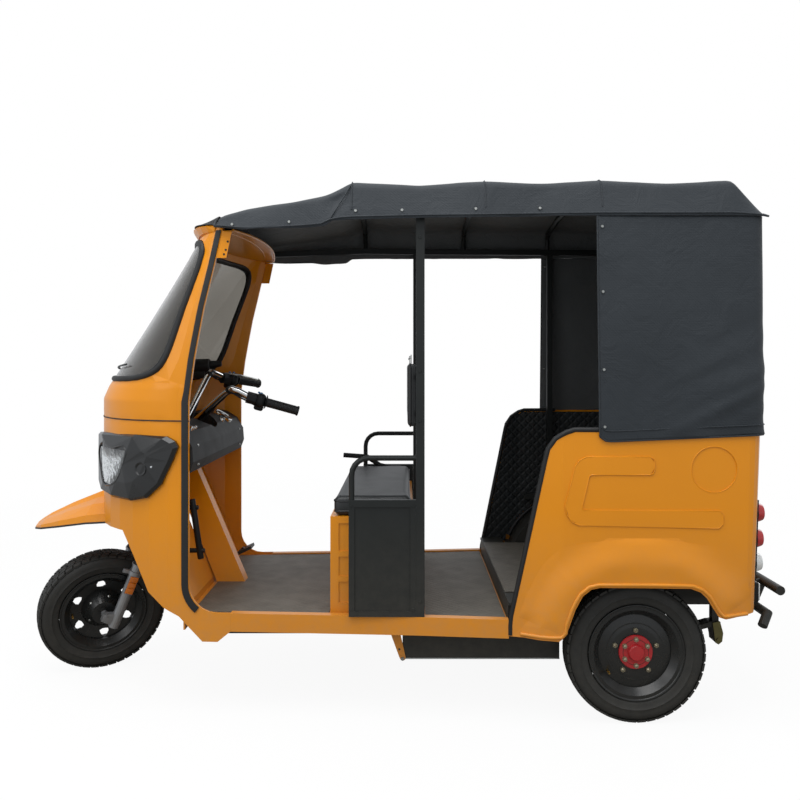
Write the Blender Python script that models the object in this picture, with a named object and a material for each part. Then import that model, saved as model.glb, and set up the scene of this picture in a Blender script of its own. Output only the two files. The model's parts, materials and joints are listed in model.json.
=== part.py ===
"""Electric passenger tricycle: closed front cab, open doorways, fabric roof.

Metres. The front of the vehicle is -X, the driver's left is -Y and up is +Z.
The origin is on the ground, under the middle of the bounding box.
"""
import bmesh
import bpy
from math import atan2, cos, hypot, pi, radians, sin, sqrt
from mathutils import Matrix, Vector

# Clearances between pieces that touch, and between pieces that move
GAP = 0.0003
BORE_PLAY = 0.0006
FLAT_WITHIN = 0.00001

# Overall sizes
LENGTH = 2.90
HALF_LENGTH = LENGTH / 2
TAIL_OVERHANG = 0.152

# Wheels: 3.75-12 tyres on pressed steel rims, one wheel size all round
REAR_AXLE_X = 0.875
WHEELBASE = 2.055
FRONT_AXLE_X = REAR_AXLE_X - WHEELBASE
REAR_TRACK = 0.970
TYRE_R = 0.2475
TYRE_W = 0.095
BEAD_R = 0.1527
BEAD_HALF_W = 0.0345
FLANGE_R = 0.1675
FLANGE_T = 0.0055
RIM_WALL = 0.003
RIM_WELL_R = 0.132
HUB_BORE_R = 0.0126
AXLE_STUB_R = HUB_BORE_R - BORE_PLAY
WHEEL_SEGMENTS = 32

# Steering: axis raked backwards, stored with the wheel turned to the left
RAKE = radians(22)
STEER_REST = radians(30)
AXLE_LEAD = 0.030
LEG_SETBACK = 0.014
LEG_SPREAD = 0.085
SLIDER_R = 0.021
STANCHION_R = 0.016
FORK_CROWN = (0.355, 0.395)
STEM_R = 0.016
STEM_TOP = 0.800
HEAD_TUBE_R = 0.028
HEAD_TUBE_SPAN = (0.460, 0.680)
BAR_R = 0.011
GRIP_R = 0.017

# Cab: an ellipse in plan, given as height, nose X, door edge X, half width
CAB_STATIONS = (
    (0.200, -1.1480, -0.7035, 0.450),
    (1.120, -1.1480, -0.7035, 0.450),
    (1.170, -1.1245, -0.6975, 0.450),
    (1.280, -1.0487, -0.6830, 0.449),
    (1.455, -0.9280, -0.6500, 0.448),
    (1.620, -0.8142, -0.6100, 0.447),
    (1.745, -0.7280, -0.5830, 0.447),
)
CAB_SEAM_Z = 1.050
BELT_Z = 1.170
HEADER_Z = 1.745
HEADER_FLANGE = 0.030
VISOR_REACH = 0.042
VISOR_CROWN = 0.030
COWL_WALL = 0.008
SCREEN_FRAME_WALL = 0.012
SCREEN_HALF_ANGLE = 73.0
SCREEN_SPAN_Z = (1.197, 1.706)
SCREEN_CORNER_POWER = 7.0
GLASS_T = 0.005
GLASS_FIT = 0.9975
PLAN_STEP = 10

# Body in plan behind the door edge: X, half width
BODY_PLAN = (
    (-0.7035, 0.450),
    (0.120, 0.500),
    (0.430, 0.530),
    (0.620, 0.574),
    (0.750, 0.580),
    (1.300, 0.580),
)

# Floor and sills
SILL_Z = (0.300, 0.365)
SILL_W = 0.030
SILL_FRONT_X = -0.5535
FLOOR_Z = 0.355
FLOOR_T = 0.010
FLOOR_FRONT_X = -0.720
STEP_X = 0.430
REAR_FLOOR_Z = 0.420

# Rear body
BODY_TOP_Z = 1.030
REAR_X = HALF_LENGTH - TAIL_OVERHANG
REAR_LEAN = 0.037
REAR_CORNER_R = 0.050
TAIL_SEAM_Y = 0.522
PLATE_PAD = (0.340, 0.560, 0.720, 0.003)
QUARTER_WALL = 0.012
ARCH_FLARE = 0.020
ARCH_TOP_Z = 0.496
WHEELHOUSE_R = 0.330
WHEELHOUSE_T = 0.006
WHEELHOUSE_INNER_Y = REAR_TRACK / 2 - TYRE_W / 2 - 0.0375

# Driver's seat and centre frame
PILLAR = 0.030
PILLAR_X = 0.123
SEAT_BOX = ((-0.200, 0.100), 0.430, 0.705)
GUARD_FRONT_X = -0.129
GUARD_TOP_Z = 0.776
GUARD_T = 0.020
ARMREST_Z = 0.9326
ARMREST_R = 0.010
CUSHION_T = 0.072

# Roof
RAIL = 0.025
RAIL_TOP_Z = 1.800
BOW_X = (-0.118, 0.349, 0.751, 1.200)
BOW_R = 0.0115
CROWN_Z = 1.925
EAVE_Z = 1.885
HEM_Z = 1.766
FABRIC_T = 0.005
CURTAIN_FRONT_X = 0.732
CURTAIN_HEM_Z = 0.990

MATERIALS = {
    "body_paint": ((0.85, 0.54, 0.12), 0.35, 0.0),
    "frame_black": ((0.03, 0.032, 0.034), 0.45, 0.0),
    "black_plastic": ((0.035, 0.036, 0.040), 0.50, 0.0),
    "rubber": ((0.03, 0.03, 0.03), 0.85, 0.0),
    "rim_black": ((0.02, 0.022, 0.025), 0.35, 0.3),
    "canopy_fabric": ((0.05, 0.06, 0.07), 0.80, 0.0),
    "seat_vinyl": ((0.07, 0.07, 0.075), 0.50, 0.0),
    "glass": ((0.75, 0.78, 0.78), 0.05, 0.0),
    "fork_grey": ((0.45, 0.47, 0.50), 0.35, 0.8),
    "lamp_red": ((0.60, 0.04, 0.04), 0.20, 0.0),
    "axle_grey": ((0.30, 0.31, 0.32), 0.50, 0.7),
}


def clear_scene():
    for obj in list(bpy.data.objects):
        bpy.data.objects.remove(obj, do_unlink=True)


def material(name):
    """Return the named material, made on first use."""
    found = bpy.data.materials.get(name)
    if found:
        return found
    colour, roughness, metallic = MATERIALS[name]
    made = bpy.data.materials.new(name)
    made.use_nodes = True
    shader = made.node_tree.nodes["Principled BSDF"]
    shader.inputs["Base Color"].default_value = (*colour, 1.0)
    shader.inputs["Roughness"].default_value = roughness
    shader.inputs["Metallic"].default_value = metallic
    return made


def table_value(table, x, column=1):
    """Read a table of (x, value, ...) rows with straight lines between them."""
    if x <= table[0][0]:
        return table[0][column]
    for low, high in zip(table, table[1:]):
        if x <= high[0]:
            share = (x - low[0]) / (high[0] - low[0])
            return low[column] + share * (high[column] - low[column])
    return table[-1][column]


def half_width(x):
    return table_value(BODY_PLAN, x)


# Mesh helpers: each returns an object with its mesh in world coordinates
def add_object(name, bm):
    bmesh.ops.remove_doubles(bm, verts=bm.verts, dist=1e-6)
    bmesh.ops.recalc_face_normals(bm, faces=bm.faces)
    mesh = bpy.data.meshes.new(name)
    bm.to_mesh(mesh)
    bm.free()
    obj = bpy.data.objects.new(name, mesh)
    bpy.context.scene.collection.objects.link(obj)
    return obj


def apply_modifiers(obj):
    """Bake the object's modifiers into its mesh."""
    bpy.context.view_layer.update()
    depsgraph = bpy.context.evaluated_depsgraph_get()
    baked = bpy.data.meshes.new_from_object(obj.evaluated_get(depsgraph))
    obj.modifiers.clear()
    obj.data = baked
    return obj


def split_bent_faces(obj):
    """Divide faces that aren't flat, so that every tool reads the same surface."""
    bm = bmesh.new()
    bm.from_mesh(obj.data)
    bent = [face for face in bm.faces if len(face.verts) > 3 and any(
        abs((vert.co - face.verts[0].co).dot(face.normal)) > FLAT_WITHIN
        for vert in face.verts)]
    bmesh.ops.triangulate(bm, faces=bent)
    bm.to_mesh(obj.data)
    bm.free()


def boolean(obj, other, operation):
    """Cut, join or intersect obj with other, which is used up."""
    split_bent_faces(obj)
    split_bent_faces(other)
    other.hide_render = True
    other.display_type = "WIRE"
    modifier = obj.modifiers.new(operation.lower(), "BOOLEAN")
    modifier.operation = operation
    modifier.solver = "EXACT"
    modifier.object = other
    apply_modifiers(obj)
    bpy.data.objects.remove(other, do_unlink=True)
    return obj


def fuse(first, *others):
    for other in others:
        boolean(first, other, "UNION")
    return first


def cut(obj, *cutters):
    for cutter in cutters:
        boolean(obj, cutter, "DIFFERENCE")
    return obj


def finish(obj, name, material_name, parent=None, crease=35):
    """Name the piece, give it its material, shade it and place it under its parent."""
    split_bent_faces(obj)
    bm = bmesh.new()
    bm.from_mesh(obj.data)
    bmesh.ops.remove_doubles(bm, verts=bm.verts, dist=2e-6)
    bmesh.ops.dissolve_degenerate(bm, edges=bm.edges, dist=2e-6)
    bm.to_mesh(obj.data)
    bm.free()
    obj.name = name
    obj.data.name = name
    obj.data.materials.clear()
    obj.data.materials.append(material(material_name))
    obj.data.shade_smooth()
    obj.data.set_sharp_from_angle(angle=radians(crease))
    if parent:
        obj.parent = parent
    return obj


def box(x, y, z):
    """A box from its (low, high) spans."""
    bm = bmesh.new()
    bmesh.ops.create_cube(bm, size=1.0)
    spans = (x, y, z)
    for vert in bm.verts:
        for axis, (low, high) in enumerate(spans):
            vert.co[axis] = low if vert.co[axis] < 0 else high
    return add_object("box", bm)


def prism(outline, axis, low, high):
    """An outline of (first, second) coordinates extruded along the given axis."""
    order = {"X": (1, 2, 0), "Y": (0, 2, 1), "Z": (0, 1, 2)}[axis]
    bm = bmesh.new()
    verts = []
    for first, second in outline:
        co = [0.0, 0.0, 0.0]
        co[order[0]], co[order[1]], co[order[2]] = first, second, low
        verts.append(bm.verts.new(co))
    face = bm.faces.new(verts)
    made = bmesh.ops.extrude_face_region(bm, geom=[face])
    shift = [0.0, 0.0, 0.0]
    shift[order[2]] = high - low
    moved = [item for item in made["geom"] if isinstance(item, bmesh.types.BMVert)]
    bmesh.ops.translate(bm, verts=moved, vec=shift)
    return add_object("prism", bm)


def loft(rings):
    """A closed solid through rings of equal length, with flat ends."""
    bm = bmesh.new()
    rows = [[bm.verts.new(point) for point in ring] for ring in rings]
    for row, following in zip(rows, rows[1:]):
        for i in range(len(row)):
            j = (i + 1) % len(row)
            bm.faces.new((row[i], row[j], following[j], following[i]))
    bm.faces.new(rows[0])
    bm.faces.new(rows[-1])
    return add_object("loft", bm)


def thick_sheet(rows, thickness, inside, closed=False):
    """A sheet through rows of points, thickened towards the inside point."""
    bm = bmesh.new()
    grid = [[bm.verts.new(point) for point in row] for row in rows]
    for row, following in zip(grid, grid[1:]):
        count = len(row) if closed else len(row) - 1
        for i in range(count):
            j = (i + 1) % len(row)
            corners = []
            for vert in (row[i], row[j], following[j], following[i]):
                if vert not in corners:
                    corners.append(vert)
            bm.faces.new(corners)
    return solidify(bm, thickness, inside)


def solidify(bm, thickness, inside):
    """Thicken an open bmesh surface on the side that faces the inside point."""
    bmesh.ops.remove_doubles(bm, verts=bm.verts, dist=1e-6)
    bmesh.ops.recalc_face_normals(bm, faces=bm.faces)
    bm.normal_update()
    outward = sum(face.normal.dot(face.calc_center_median() - Vector(inside))
                  * face.calc_area() for face in bm.faces)
    if outward < 0:
        bmesh.ops.reverse_faces(bm, faces=bm.faces)
    mesh = bpy.data.meshes.new("sheet")
    bm.to_mesh(mesh)
    bm.free()
    obj = bpy.data.objects.new("sheet", mesh)
    bpy.context.scene.collection.objects.link(obj)
    modifier = obj.modifiers.new("wall", "SOLIDIFY")
    modifier.thickness = thickness
    modifier.offset = -1.0
    modifier.use_even_offset = True
    return apply_modifiers(obj)


def revolve(profile, segments, phase=0.0):
    """Turn a closed profile of (axial, radius) points about the Y axis."""
    rings = []
    for step in range(segments):
        angle = phase + 2 * pi * step / segments
        rings.append([Vector((r * cos(angle), y, r * sin(angle))) for y, r in profile])
    bm = bmesh.new()
    rows = [[bm.verts.new(point) for point in ring] for ring in rings]
    for step, row in enumerate(rows):
        following = rows[(step + 1) % segments]
        for i in range(len(row)):
            j = (i + 1) % len(row)
            bm.faces.new((row[i], row[j], following[j], following[i]))
    return add_object("revolve", bm)


def rod(start, end, radius, sides=16, end_radius=None):
    """A round bar between two points."""
    start, end = Vector(start), Vector(end)
    bm = bmesh.new()
    bmesh.ops.create_cone(bm, cap_ends=True, segments=sides, radius1=radius,
                          radius2=radius if end_radius is None else end_radius,
                          depth=(end - start).length)
    turn = (end - start).to_track_quat("Z", "Y").to_matrix().to_4x4()
    bm.transform(Matrix.Translation((start + end) / 2) @ turn)
    return add_object("rod", bm)


def tube(points, radius, sides=12):
    """A round bar that follows a line of points with mitred corners."""
    points = [Vector(point) for point in points]
    rings = []
    previous = None
    for index, point in enumerate(points):
        before = points[max(index - 1, 0)]
        after = points[min(index + 1, len(points) - 1)]
        incoming = (point - before).normalized() if index else None
        outgoing = (after - point).normalized() if index < len(points) - 1 else None
        along = ((incoming or outgoing) + (outgoing or incoming)).normalized()
        stretch = 1.0 / max(along.dot(outgoing or incoming), 0.3)
        if previous is None:
            side = along.orthogonal().normalized()
        else:
            side = (previous - along * previous.dot(along)).normalized()
        previous = side
        up = along.cross(side)
        bend = None
        if incoming and outgoing and (outgoing - incoming).length > 1e-6:
            bend = (outgoing - incoming).normalized()
        ring = []
        for step in range(sides):
            angle = 2 * pi * step / sides
            spoke = (side * cos(angle) + up * sin(angle)) * radius
            if bend:
                spoke += bend * spoke.dot(bend) * (stretch - 1.0)
            ring.append(point + spoke)
        rings.append(ring)
    return loft(rings)


def arc(centre, radius, start_deg, end_deg, steps):
    """Points of an arc in a plane, from one angle to another."""
    angles = [radians(start_deg + (end_deg - start_deg) * i / steps) for i in range(steps + 1)]
    return [(centre[0] + radius * cos(a), centre[1] + radius * sin(a)) for a in angles]


# The cab's outer surface
def cab_point(angle_deg, z, offset=0.0):
    """A point of the cab at an angle round from the nose, offset outwards in plan."""
    nose = table_value(CAB_STATIONS, z, 1)
    door = table_value(CAB_STATIONS, z, 2)
    wide = table_value(CAB_STATIONS, z, 3)
    deep = door - nose
    angle = radians(angle_deg)
    normal = Vector((-wide * cos(angle), deep * sin(angle), 0)).normalized()
    return Vector((door - deep * cos(angle), wide * sin(angle), z)) + normal * offset


def cab_plan(offset, rear_x):
    """The cab's plan below the belt, run straight back to rear_x."""
    z = CAB_SEAM_Z
    outline = [cab_point(angle, z, offset) for angle in range(-90, 91, PLAN_STEP)]
    left = (rear_x, -(half_width(rear_x) + offset))
    right = (rear_x, half_width(rear_x) + offset)
    return [left] + [(p.x, p.y) for p in outline] + [right]


def cab_core(offset, low, high, rear_x=SILL_FRONT_X):
    return prism(cab_plan(offset, rear_x), "Z", low, high)


COWL_SIDE = (
    [(CAB_STATIONS[0][2], CAB_SEAM_Z - GAP / 2)]
    + arc((-0.6035, 0.4655), 0.100, 180, 270, 6)
    + [(SILL_FRONT_X - GAP, SILL_Z[1] + 0.0005), (SILL_FRONT_X - GAP, SILL_Z[0]),
       (-0.600, 0.262), (-0.655, 0.262), (-0.741, 0.350), (-0.800, 0.380),
       (-0.859, 0.431), (-0.925, 0.560), (-0.976, 0.640), (-1.250, 0.640),
       (-1.250, CAB_SEAM_Z - GAP / 2)]
)

# Front fender, as X, half width, edge Z, ridge Z
FENDER_STATIONS = (
    (-1.060, 0.205, 0.640, 0.757),
    (-1.180, 0.195, 0.632, 0.731),
    (-1.300, 0.165, 0.613, 0.683),
    (-1.390, 0.115, 0.596, 0.640),
    (-1.430, 0.070, 0.588, 0.615),
    (-HALF_LENGTH, 0.030, 0.582, 0.600),
)
FENDER_T = 0.005


def fender_section(x, wide, edge, ridge, lift=0.0):
    """One cross section: a lip, a flat side, a shoulder and a raised ridge."""
    rise = ridge - edge
    shape = ((1.0, 0.0), (0.97, 0.30), (0.62, 0.62), (0.26, 0.80), (0.12, 1.0))
    left = [Vector((x, -wide * a, edge + rise * b + lift)) for a, b in shape]
    right = [Vector((p.x, -p.y, p.z)) for p in reversed(left)]
    return left + right


def build_fender():
    """Fender skin with the tab that bolts it to the inside of the nose."""
    rows = [fender_section(*station) for station in FENDER_STATIONS]
    skin = thick_sheet(rows, FENDER_T, (-1.2, 0, 0.4))
    tab_x = cab_point(0, CAB_SEAM_Z, -COWL_WALL).x + 0.001
    return fuse(skin, box((tab_x, tab_x + 0.016), (-0.006, 0.006), (0.740, 0.790)))


def build_fender_clearance():
    """The space under the fender's skin, taken out of the cowl above it."""
    rings = []
    for x, wide, edge, ridge in FENDER_STATIONS[:3]:
        ring = fender_section(x, wide + 0.0009, edge, ridge, lift=0.0013)
        low_left = Vector((x, ring[0].y, 0.5))
        low_right = Vector((x, ring[-1].y, 0.5))
        rings.append([low_left] + ring + [low_right])
    back = [point + Vector((0.30, 0, 0)) for point in rings[0]]
    return loft([back] + rings)


def build_cowl():
    plan = cab_plan(0.0, SILL_FRONT_X)
    rows = [[(x, y, z) for x, y in plan] for z in (0.25, CAB_SEAM_Z)]
    wall = thick_sheet(rows, COWL_WALL, (-0.7, 0, 0.7))
    boolean(wall, prism(COWL_SIDE, "Y", -0.6, 0.6), "INTERSECT")
    return cut(wall, build_fender_clearance())


def screen_rim(scale=1.0, half_angle=SCREEN_HALF_ANGLE, span=SCREEN_SPAN_Z):
    """Angle and height of points round the windscreen, with rounded corners."""
    points = []
    for u, v in screen_square():
        round_off = (abs(u) ** SCREEN_CORNER_POWER + abs(v) ** SCREEN_CORNER_POWER)
        shrink = scale * round_off ** (-1 / SCREEN_CORNER_POWER)
        middle, half = (span[0] + span[1]) / 2, (span[1] - span[0]) / 2
        points.append((u * shrink * half_angle, middle + v * shrink * half))
    return points


def screen_square():
    """Matching points round a square, from the lower left corner."""
    across = [angle / 90 for angle in range(-90, 91, PLAN_STEP)]
    side = [-1 + 2 * step / 6 for step in range(1, 6)]
    return ([(u, -1) for u in across] + [(1, v) for v in side]
            + [(u, 1) for u in reversed(across)] + [(-1, v) for v in reversed(side)])


def cab_shell(faces, wall):
    """A closed wall from faces of (angle, height) corners, thickened inwards in plan."""
    bm = bmesh.new()
    corners = list(dict.fromkeys(corner for face in faces for corner in face))
    outer = {corner: bm.verts.new(cab_point(*corner)) for corner in corners}
    inner = {corner: bm.verts.new(cab_point(*corner, -wall)) for corner in corners}
    edges = {}
    for face in faces:
        bm.faces.new([outer[corner] for corner in face])
        bm.faces.new([inner[corner] for corner in reversed(face)])
        for start, end in zip(face, face[1:] + face[:1]):
            edges.setdefault(frozenset((start, end)), []).append((start, end))
    for uses in edges.values():
        if len(uses) == 1:
            start, end = uses[0]
            bm.faces.new((outer[end], outer[start], inner[start], inner[end]))
    return add_object("shell", bm)


def ring_faces(rings):
    faces = []
    for ring, following in zip(rings, rings[1:]):
        for i in range(len(ring)):
            j = (i + 1) % len(ring)
            faces.append([ring[i], ring[j], following[j], following[i]])
    return faces


def build_screen_frame():
    """Pillars, belt and header of the cab as one pressed panel round the windscreen."""
    square = screen_square()
    outer = [(90 * u, BELT_Z if v < -0.999 else HEADER_Z if v > 0.999
              else BELT_Z + (v + 1) / 2 * (HEADER_Z - BELT_Z)) for u, v in square]
    inner = screen_rim()
    middle = [((a[0] + b[0]) / 2, (a[1] + b[1]) / 2) for a, b in zip(outer, inner)]
    faces = ring_faces([outer, middle, inner])
    angles = range(-90, 91, PLAN_STEP)
    below = outer[:len(angles)]
    for z in (CAB_STATIONS[1][0], CAB_SEAM_Z + GAP / 2):
        row = [(angle, z) for angle in angles]
        for i in range(len(angles) - 1):
            faces.append([row[i], row[i + 1], below[i + 1], below[i]])
        below = row
    frame = cab_shell(faces, SCREEN_FRAME_WALL)
    rim = [cab_point(angle, HEADER_Z, -0.002) for angle in angles]
    rim += [cab_point(angle, HEADER_Z, -HEADER_FLANGE) for angle in reversed(angles)]
    flange = prism([(p.x, p.y) for p in rim], "Z", HEADER_Z - 0.006, HEADER_Z + 0.006)
    return fuse(frame, flange, build_visor())


# Section of the visor: share of its reach, height above the header, share of its crown
VISOR_SECTION = ((0.0, -0.018, 0.0), (0.25, -0.016, 0.0), (0.90, 0.0, 0.30), (1.0, 0.002, 0.65),
                 (0.70, 0.004, 1.0), (0.0, 0.006, 1.0), (0.0, 0.0, 0.0))


def build_visor():
    """Rounded lip above the windscreen, highest and deepest at the middle."""
    rings = []
    for angle in range(-80, 81, PLAN_STEP):
        reach = VISOR_REACH * cos(radians(angle * 90 / 84)) ** 0.6
        crown = VISOR_CROWN * cos(radians(angle)) ** 2
        rings.append([cab_point(angle, HEADER_Z + rise + high * crown,
                                share * reach if share else 0.002 - SCREEN_FRAME_WALL)
                      for share, rise, high in VISOR_SECTION])
    return loft(rings)


def build_windscreen():
    """Curved glass that fills the opening, less a clearance at its edge."""
    rings = [screen_rim(scale * GLASS_FIT) for scale in (1.0, 0.7, 0.35)]
    middle = (0, sum(SCREEN_SPAN_Z) / 2)
    last = rings[-1]
    faces = ring_faces(rings)
    faces += [[last[i], last[(i + 1) % len(last)], middle] for i in range(len(last))]
    return cab_shell(faces, GLASS_T)


# Lamp pods: outline as angle round the cab and height, for the right side
POD_OUTLINE = (
    (25, 0.800), (24, 0.900), (25, 0.990), (34, 0.994), (63, 0.998), (80, 0.995),
    (84, 0.978), (85.5, 0.958), (83, 0.910), (77.5, 0.824), (70, 0.772), (60.5, 0.757),
    (46, 0.760), (32, 0.770),
)
LENS_OUTLINE = (
    (33.5, 0.941), (48, 0.942), (58.5, 0.939), (57.5, 0.900), (54, 0.847), (51, 0.823),
    (46, 0.807), (39.5, 0.809), (35.5, 0.852),
)


def cab_patch(outline, levels, side):
    """A closed pad on the cab: levels are (scale about the middle, outward offset)."""
    mid_a = sum(a for a, z in outline) / len(outline)
    mid_z = sum(z for a, z in outline) / len(outline)
    bm = bmesh.new()
    rings = []
    for scale, offset in levels:
        if scale == 0:
            rings.append([bm.verts.new(cab_point(side * mid_a, mid_z, offset))])
            continue
        ring = []
        for a, z in outline:
            at = (mid_a + (a - mid_a) * scale, mid_z + (z - mid_z) * scale)
            ring.append(bm.verts.new(cab_point(side * at[0], at[1], offset)))
        rings.append(ring)
    for ring, following in zip(rings, rings[1:]):
        count = max(len(ring), len(following))
        for i in range(count):
            j = (i + 1) % count
            corners = [ring[i % len(ring)], ring[j % len(ring)],
                       following[j % len(following)], following[i % len(following)]]
            bm.faces.new(list(dict.fromkeys(corners)))
    return add_object("patch", bm)


def build_headlamp(side):
    pod = cab_patch(POD_OUTLINE, ((0, -0.03), (0.5, -0.03), (1, -0.03), (1, 0.012),
                                  (0.93, 0.022), (0.5, 0.026), (0, 0.027)), side)
    cut(pod, cab_core(GAP, 0.70, 1.10))
    pocket = cab_patch(LENS_OUTLINE, ((0, 0.010), (0.5, 0.010), (1.01, 0.010),
                                      (1.01, 0.040), (0.5, 0.040), (0, 0.040)), side)
    cut(pod, pocket)
    lens = cab_patch(LENS_OUTLINE, ((0, 0.0103), (0.5, 0.0103), (1, 0.0103),
                                    (1, 0.022), (0.5, 0.027), (0, 0.028)), side)
    return pod, lens


# Structure under the floor and the steering head
RAIL_Y = 0.270
RAIL_W = 0.040
RAIL_FRONT_Z = (0.236, 0.2997)
RAIL_REAR_Z = (0.345, REAR_FLOOR_Z - FLOOR_T - GAP)
RAIL_END_X = (-0.640, REAR_X + 0.020)
RAIL_KICK_X = (0.455, 0.545)
SPRING_X = (0.555, 1.262)
SPRING_EYE_Z = (0.3000, 0.2800)


def build_chassis():
    """Two side rails that kick up over the rear axle, with cross members and hangers."""
    (low, high), (rear_low, rear_high) = RAIL_FRONT_Z, RAIL_REAR_Z
    (front, back), (kick, raised) = RAIL_END_X, RAIL_KICK_X
    outline = ((front, low), (kick + 0.02, low), (raised + 0.02, rear_low), (back, rear_low),
               (back, rear_high), (raised, rear_high), (kick, high), (front, high))
    rails = [prism(outline, "Y", side * RAIL_Y - RAIL_W / 2, side * RAIL_Y + RAIL_W / 2)
             for side in (-1, 1)]
    frame = fuse(*rails)
    for x, bottom, top in ((front, low, high), (0.0, low, high),
                           (0.640, rear_low + 0.001, rear_high - 0.001),
                           (1.240, rear_low + 0.001, rear_high - 0.001)):
        fuse(frame, box((x, x + 0.040), (-RAIL_Y, RAIL_Y), (bottom, top)))
    fuse(frame, box((front + 0.03, 0.030), (-0.030, 0.030), (low + 0.01, high - 0.01)))
    for side in (-1, 1):
        span = sorted((side * (RAIL_Y - 0.015), side * (RAIL_Y + 0.015)))
        eyes = zip((SPRING_X[0], SPRING_X[1] - 0.030), SPRING_EYE_Z)
        for x, eye in eyes:
            fuse(frame, box((x, x + 0.025), span, (eye + GAP, rear_low + 0.01)))
    return frame


DOWN_TUBE_SIDE = ((-0.703, FLOOR_Z + GAP), (-0.587, FLOOR_Z + GAP), (-0.732, 0.698),
                  (-0.800, 0.855), (-0.905, 0.855), (-0.965, 0.700), (-0.915, 0.665),
                  (-0.824, 0.660))
DOWN_TUBE_W = 0.060


def steering_frame():
    """World placement of the steering axis, straight ahead, and of its turn at rest."""
    lean = sin(STEER_REST) * sin(RAKE)
    upright = sqrt(1 - lean * lean)
    reach = max(r * upright + abs(y) * lean for y, r in tyre_profile())
    x = FRONT_AXLE_X + AXLE_LEAD * cos(STEER_REST) * cos(RAKE)
    z = reach - AXLE_LEAD * cos(STEER_REST) * sin(RAKE)
    return Matrix.Translation((x, 0, z)) @ Matrix.Rotation(RAKE, 4, "Y")


def build_down_tube():
    frame = steering_frame()
    support = prism(DOWN_TUBE_SIDE, "Y", -DOWN_TUBE_W / 2, DOWN_TUBE_W / 2)
    low, high = HEAD_TUBE_SPAN
    fuse(support, rod(frame @ Vector((0, 0, low)), frame @ Vector((0, 0, high)), HEAD_TUBE_R, 20))
    return cut(support, rod(frame @ Vector((0, 0, low - 0.1)),
                            frame @ Vector((0, 0, high + 0.1)), STEM_R + BORE_PLAY, 20))


BULKHEAD_SIDE = ((-0.7265, 0.300), (-0.7205, 0.300), (-0.7205, 0.380), (-0.884, 0.800),
                 (-0.890, 0.800), (-0.7265, 0.380))


def build_bulkhead():
    """Sheet between the wheel and the driver's feet, notched for the down tube."""
    plate = prism(BULKHEAD_SIDE, "Y", -0.6, 0.6)
    boolean(plate, cab_core(-COWL_WALL - GAP, 0.2, 1.0), "INTERSECT")
    return cut(plate, box((-1.0, -0.6), (-0.045, 0.045), (0.560, 0.9)))


DASH_SIDE = ((-0.704, 0.862), (-0.690, 0.900), (-0.694, 0.955), (-0.722, 1.005),
             (-0.770, 1.036), (-0.850, 1.046), (-0.885, 1.040), (-0.885, 0.900),
             (-0.800, 0.862))


def build_dashboard():
    dash = prism(DASH_SIDE, "Y", -0.6, 0.6)
    boolean(dash, cab_core(-COWL_WALL - GAP, 0.2, 1.1), "INTERSECT")
    frame = steering_frame()
    cut(dash, rod(frame @ Vector((0, 0, 0.755)), frame @ Vector((0, 0, 1.1)), 0.125, 24),
        rod(frame @ Vector((0, 0, 0.5)), frame @ Vector((0, 0, 1.1)), 0.040, 16))
    return dash


# Floor
def build_floor_pan():
    inner_front = cab_plan(-COWL_WALL - GAP, SILL_FRONT_X)[0][1]
    stations = [SILL_FRONT_X, 0.120, STEP_X - GAP]
    plan = [(FLOOR_FRONT_X, -0.438), (SILL_FRONT_X - GAP, inner_front)]
    plan += [(x, -half_width(x) + 0.001) for x in stations]
    plan += [(x, half_width(x) - 0.001) for x in reversed(stations)]
    plan += [(SILL_FRONT_X - GAP, -inner_front), (FLOOR_FRONT_X, 0.438)]
    pan = prism(plan, "Z", FLOOR_Z - FLOOR_T, FLOOR_Z)
    for side in (-1, 1):
        sill = [(x, side * half_width(x)) for x in stations]
        sill += [(x, side * (half_width(x) - SILL_W)) for x in reversed(stations)]
        fuse(pan, prism(sill, "Z", *SILL_Z))
    return pan


def build_rear_tub():
    """Raised rear floor with its riser and the two inner wheelhouses."""
    edge = STEP_X + 0.001
    plan = [(edge, -0.515), (0.530, -0.538), (0.530, 0.538), (edge, 0.515)]
    tub = prism(plan, "Z", REAR_FLOOR_Z - FLOOR_T, REAR_FLOOR_Z)
    floor_half = WHEELHOUSE_INNER_Y + 0.010
    fuse(tub, box((0.520, REAR_X - 0.0357), (-floor_half, floor_half),
                  (REAR_FLOOR_Z - FLOOR_T, REAR_FLOOR_Z)),
         box((edge, edge + 0.008), (-0.495, 0.495), (FLOOR_Z - FLOOR_T, REAR_FLOOR_Z)))
    for side in (-1, 1):
        outline = ([(REAR_AXLE_X + WHEELHOUSE_R, 0.405)]
                   + arc((REAR_AXLE_X, 0.2775), WHEELHOUSE_R, 23, 157, 14)
                   + [(REAR_AXLE_X - WHEELHOUSE_R, 0.405)])
        reach = WHEELHOUSE_R - WHEELHOUSE_T
        hollow = ([(REAR_AXLE_X + reach, 0.200)]
                  + arc((REAR_AXLE_X, 0.2775), reach, 10, 170, 14)
                  + [(REAR_AXLE_X - reach, 0.200)])
        outer = sorted((side * WHEELHOUSE_INNER_Y, side * 0.5675))
        inner = sorted((side * (WHEELHOUSE_INNER_Y + WHEELHOUSE_T), side * 0.70))
        arch = prism(outline, "Y", *outer)
        fuse(tub, arch)
        cut(tub, prism(hollow, "Y", *inner))
    inset = QUARTER_WALL + 0.001
    core = [(x, half_width(x) - inset) for x in (0.400, 0.430, 0.620, 0.750, 1.300)]
    core += [(x, -y) for x, y in reversed(core)]
    return boolean(tub, prism(core, "Z", 0.1, 0.9), "INTERSECT")


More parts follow.
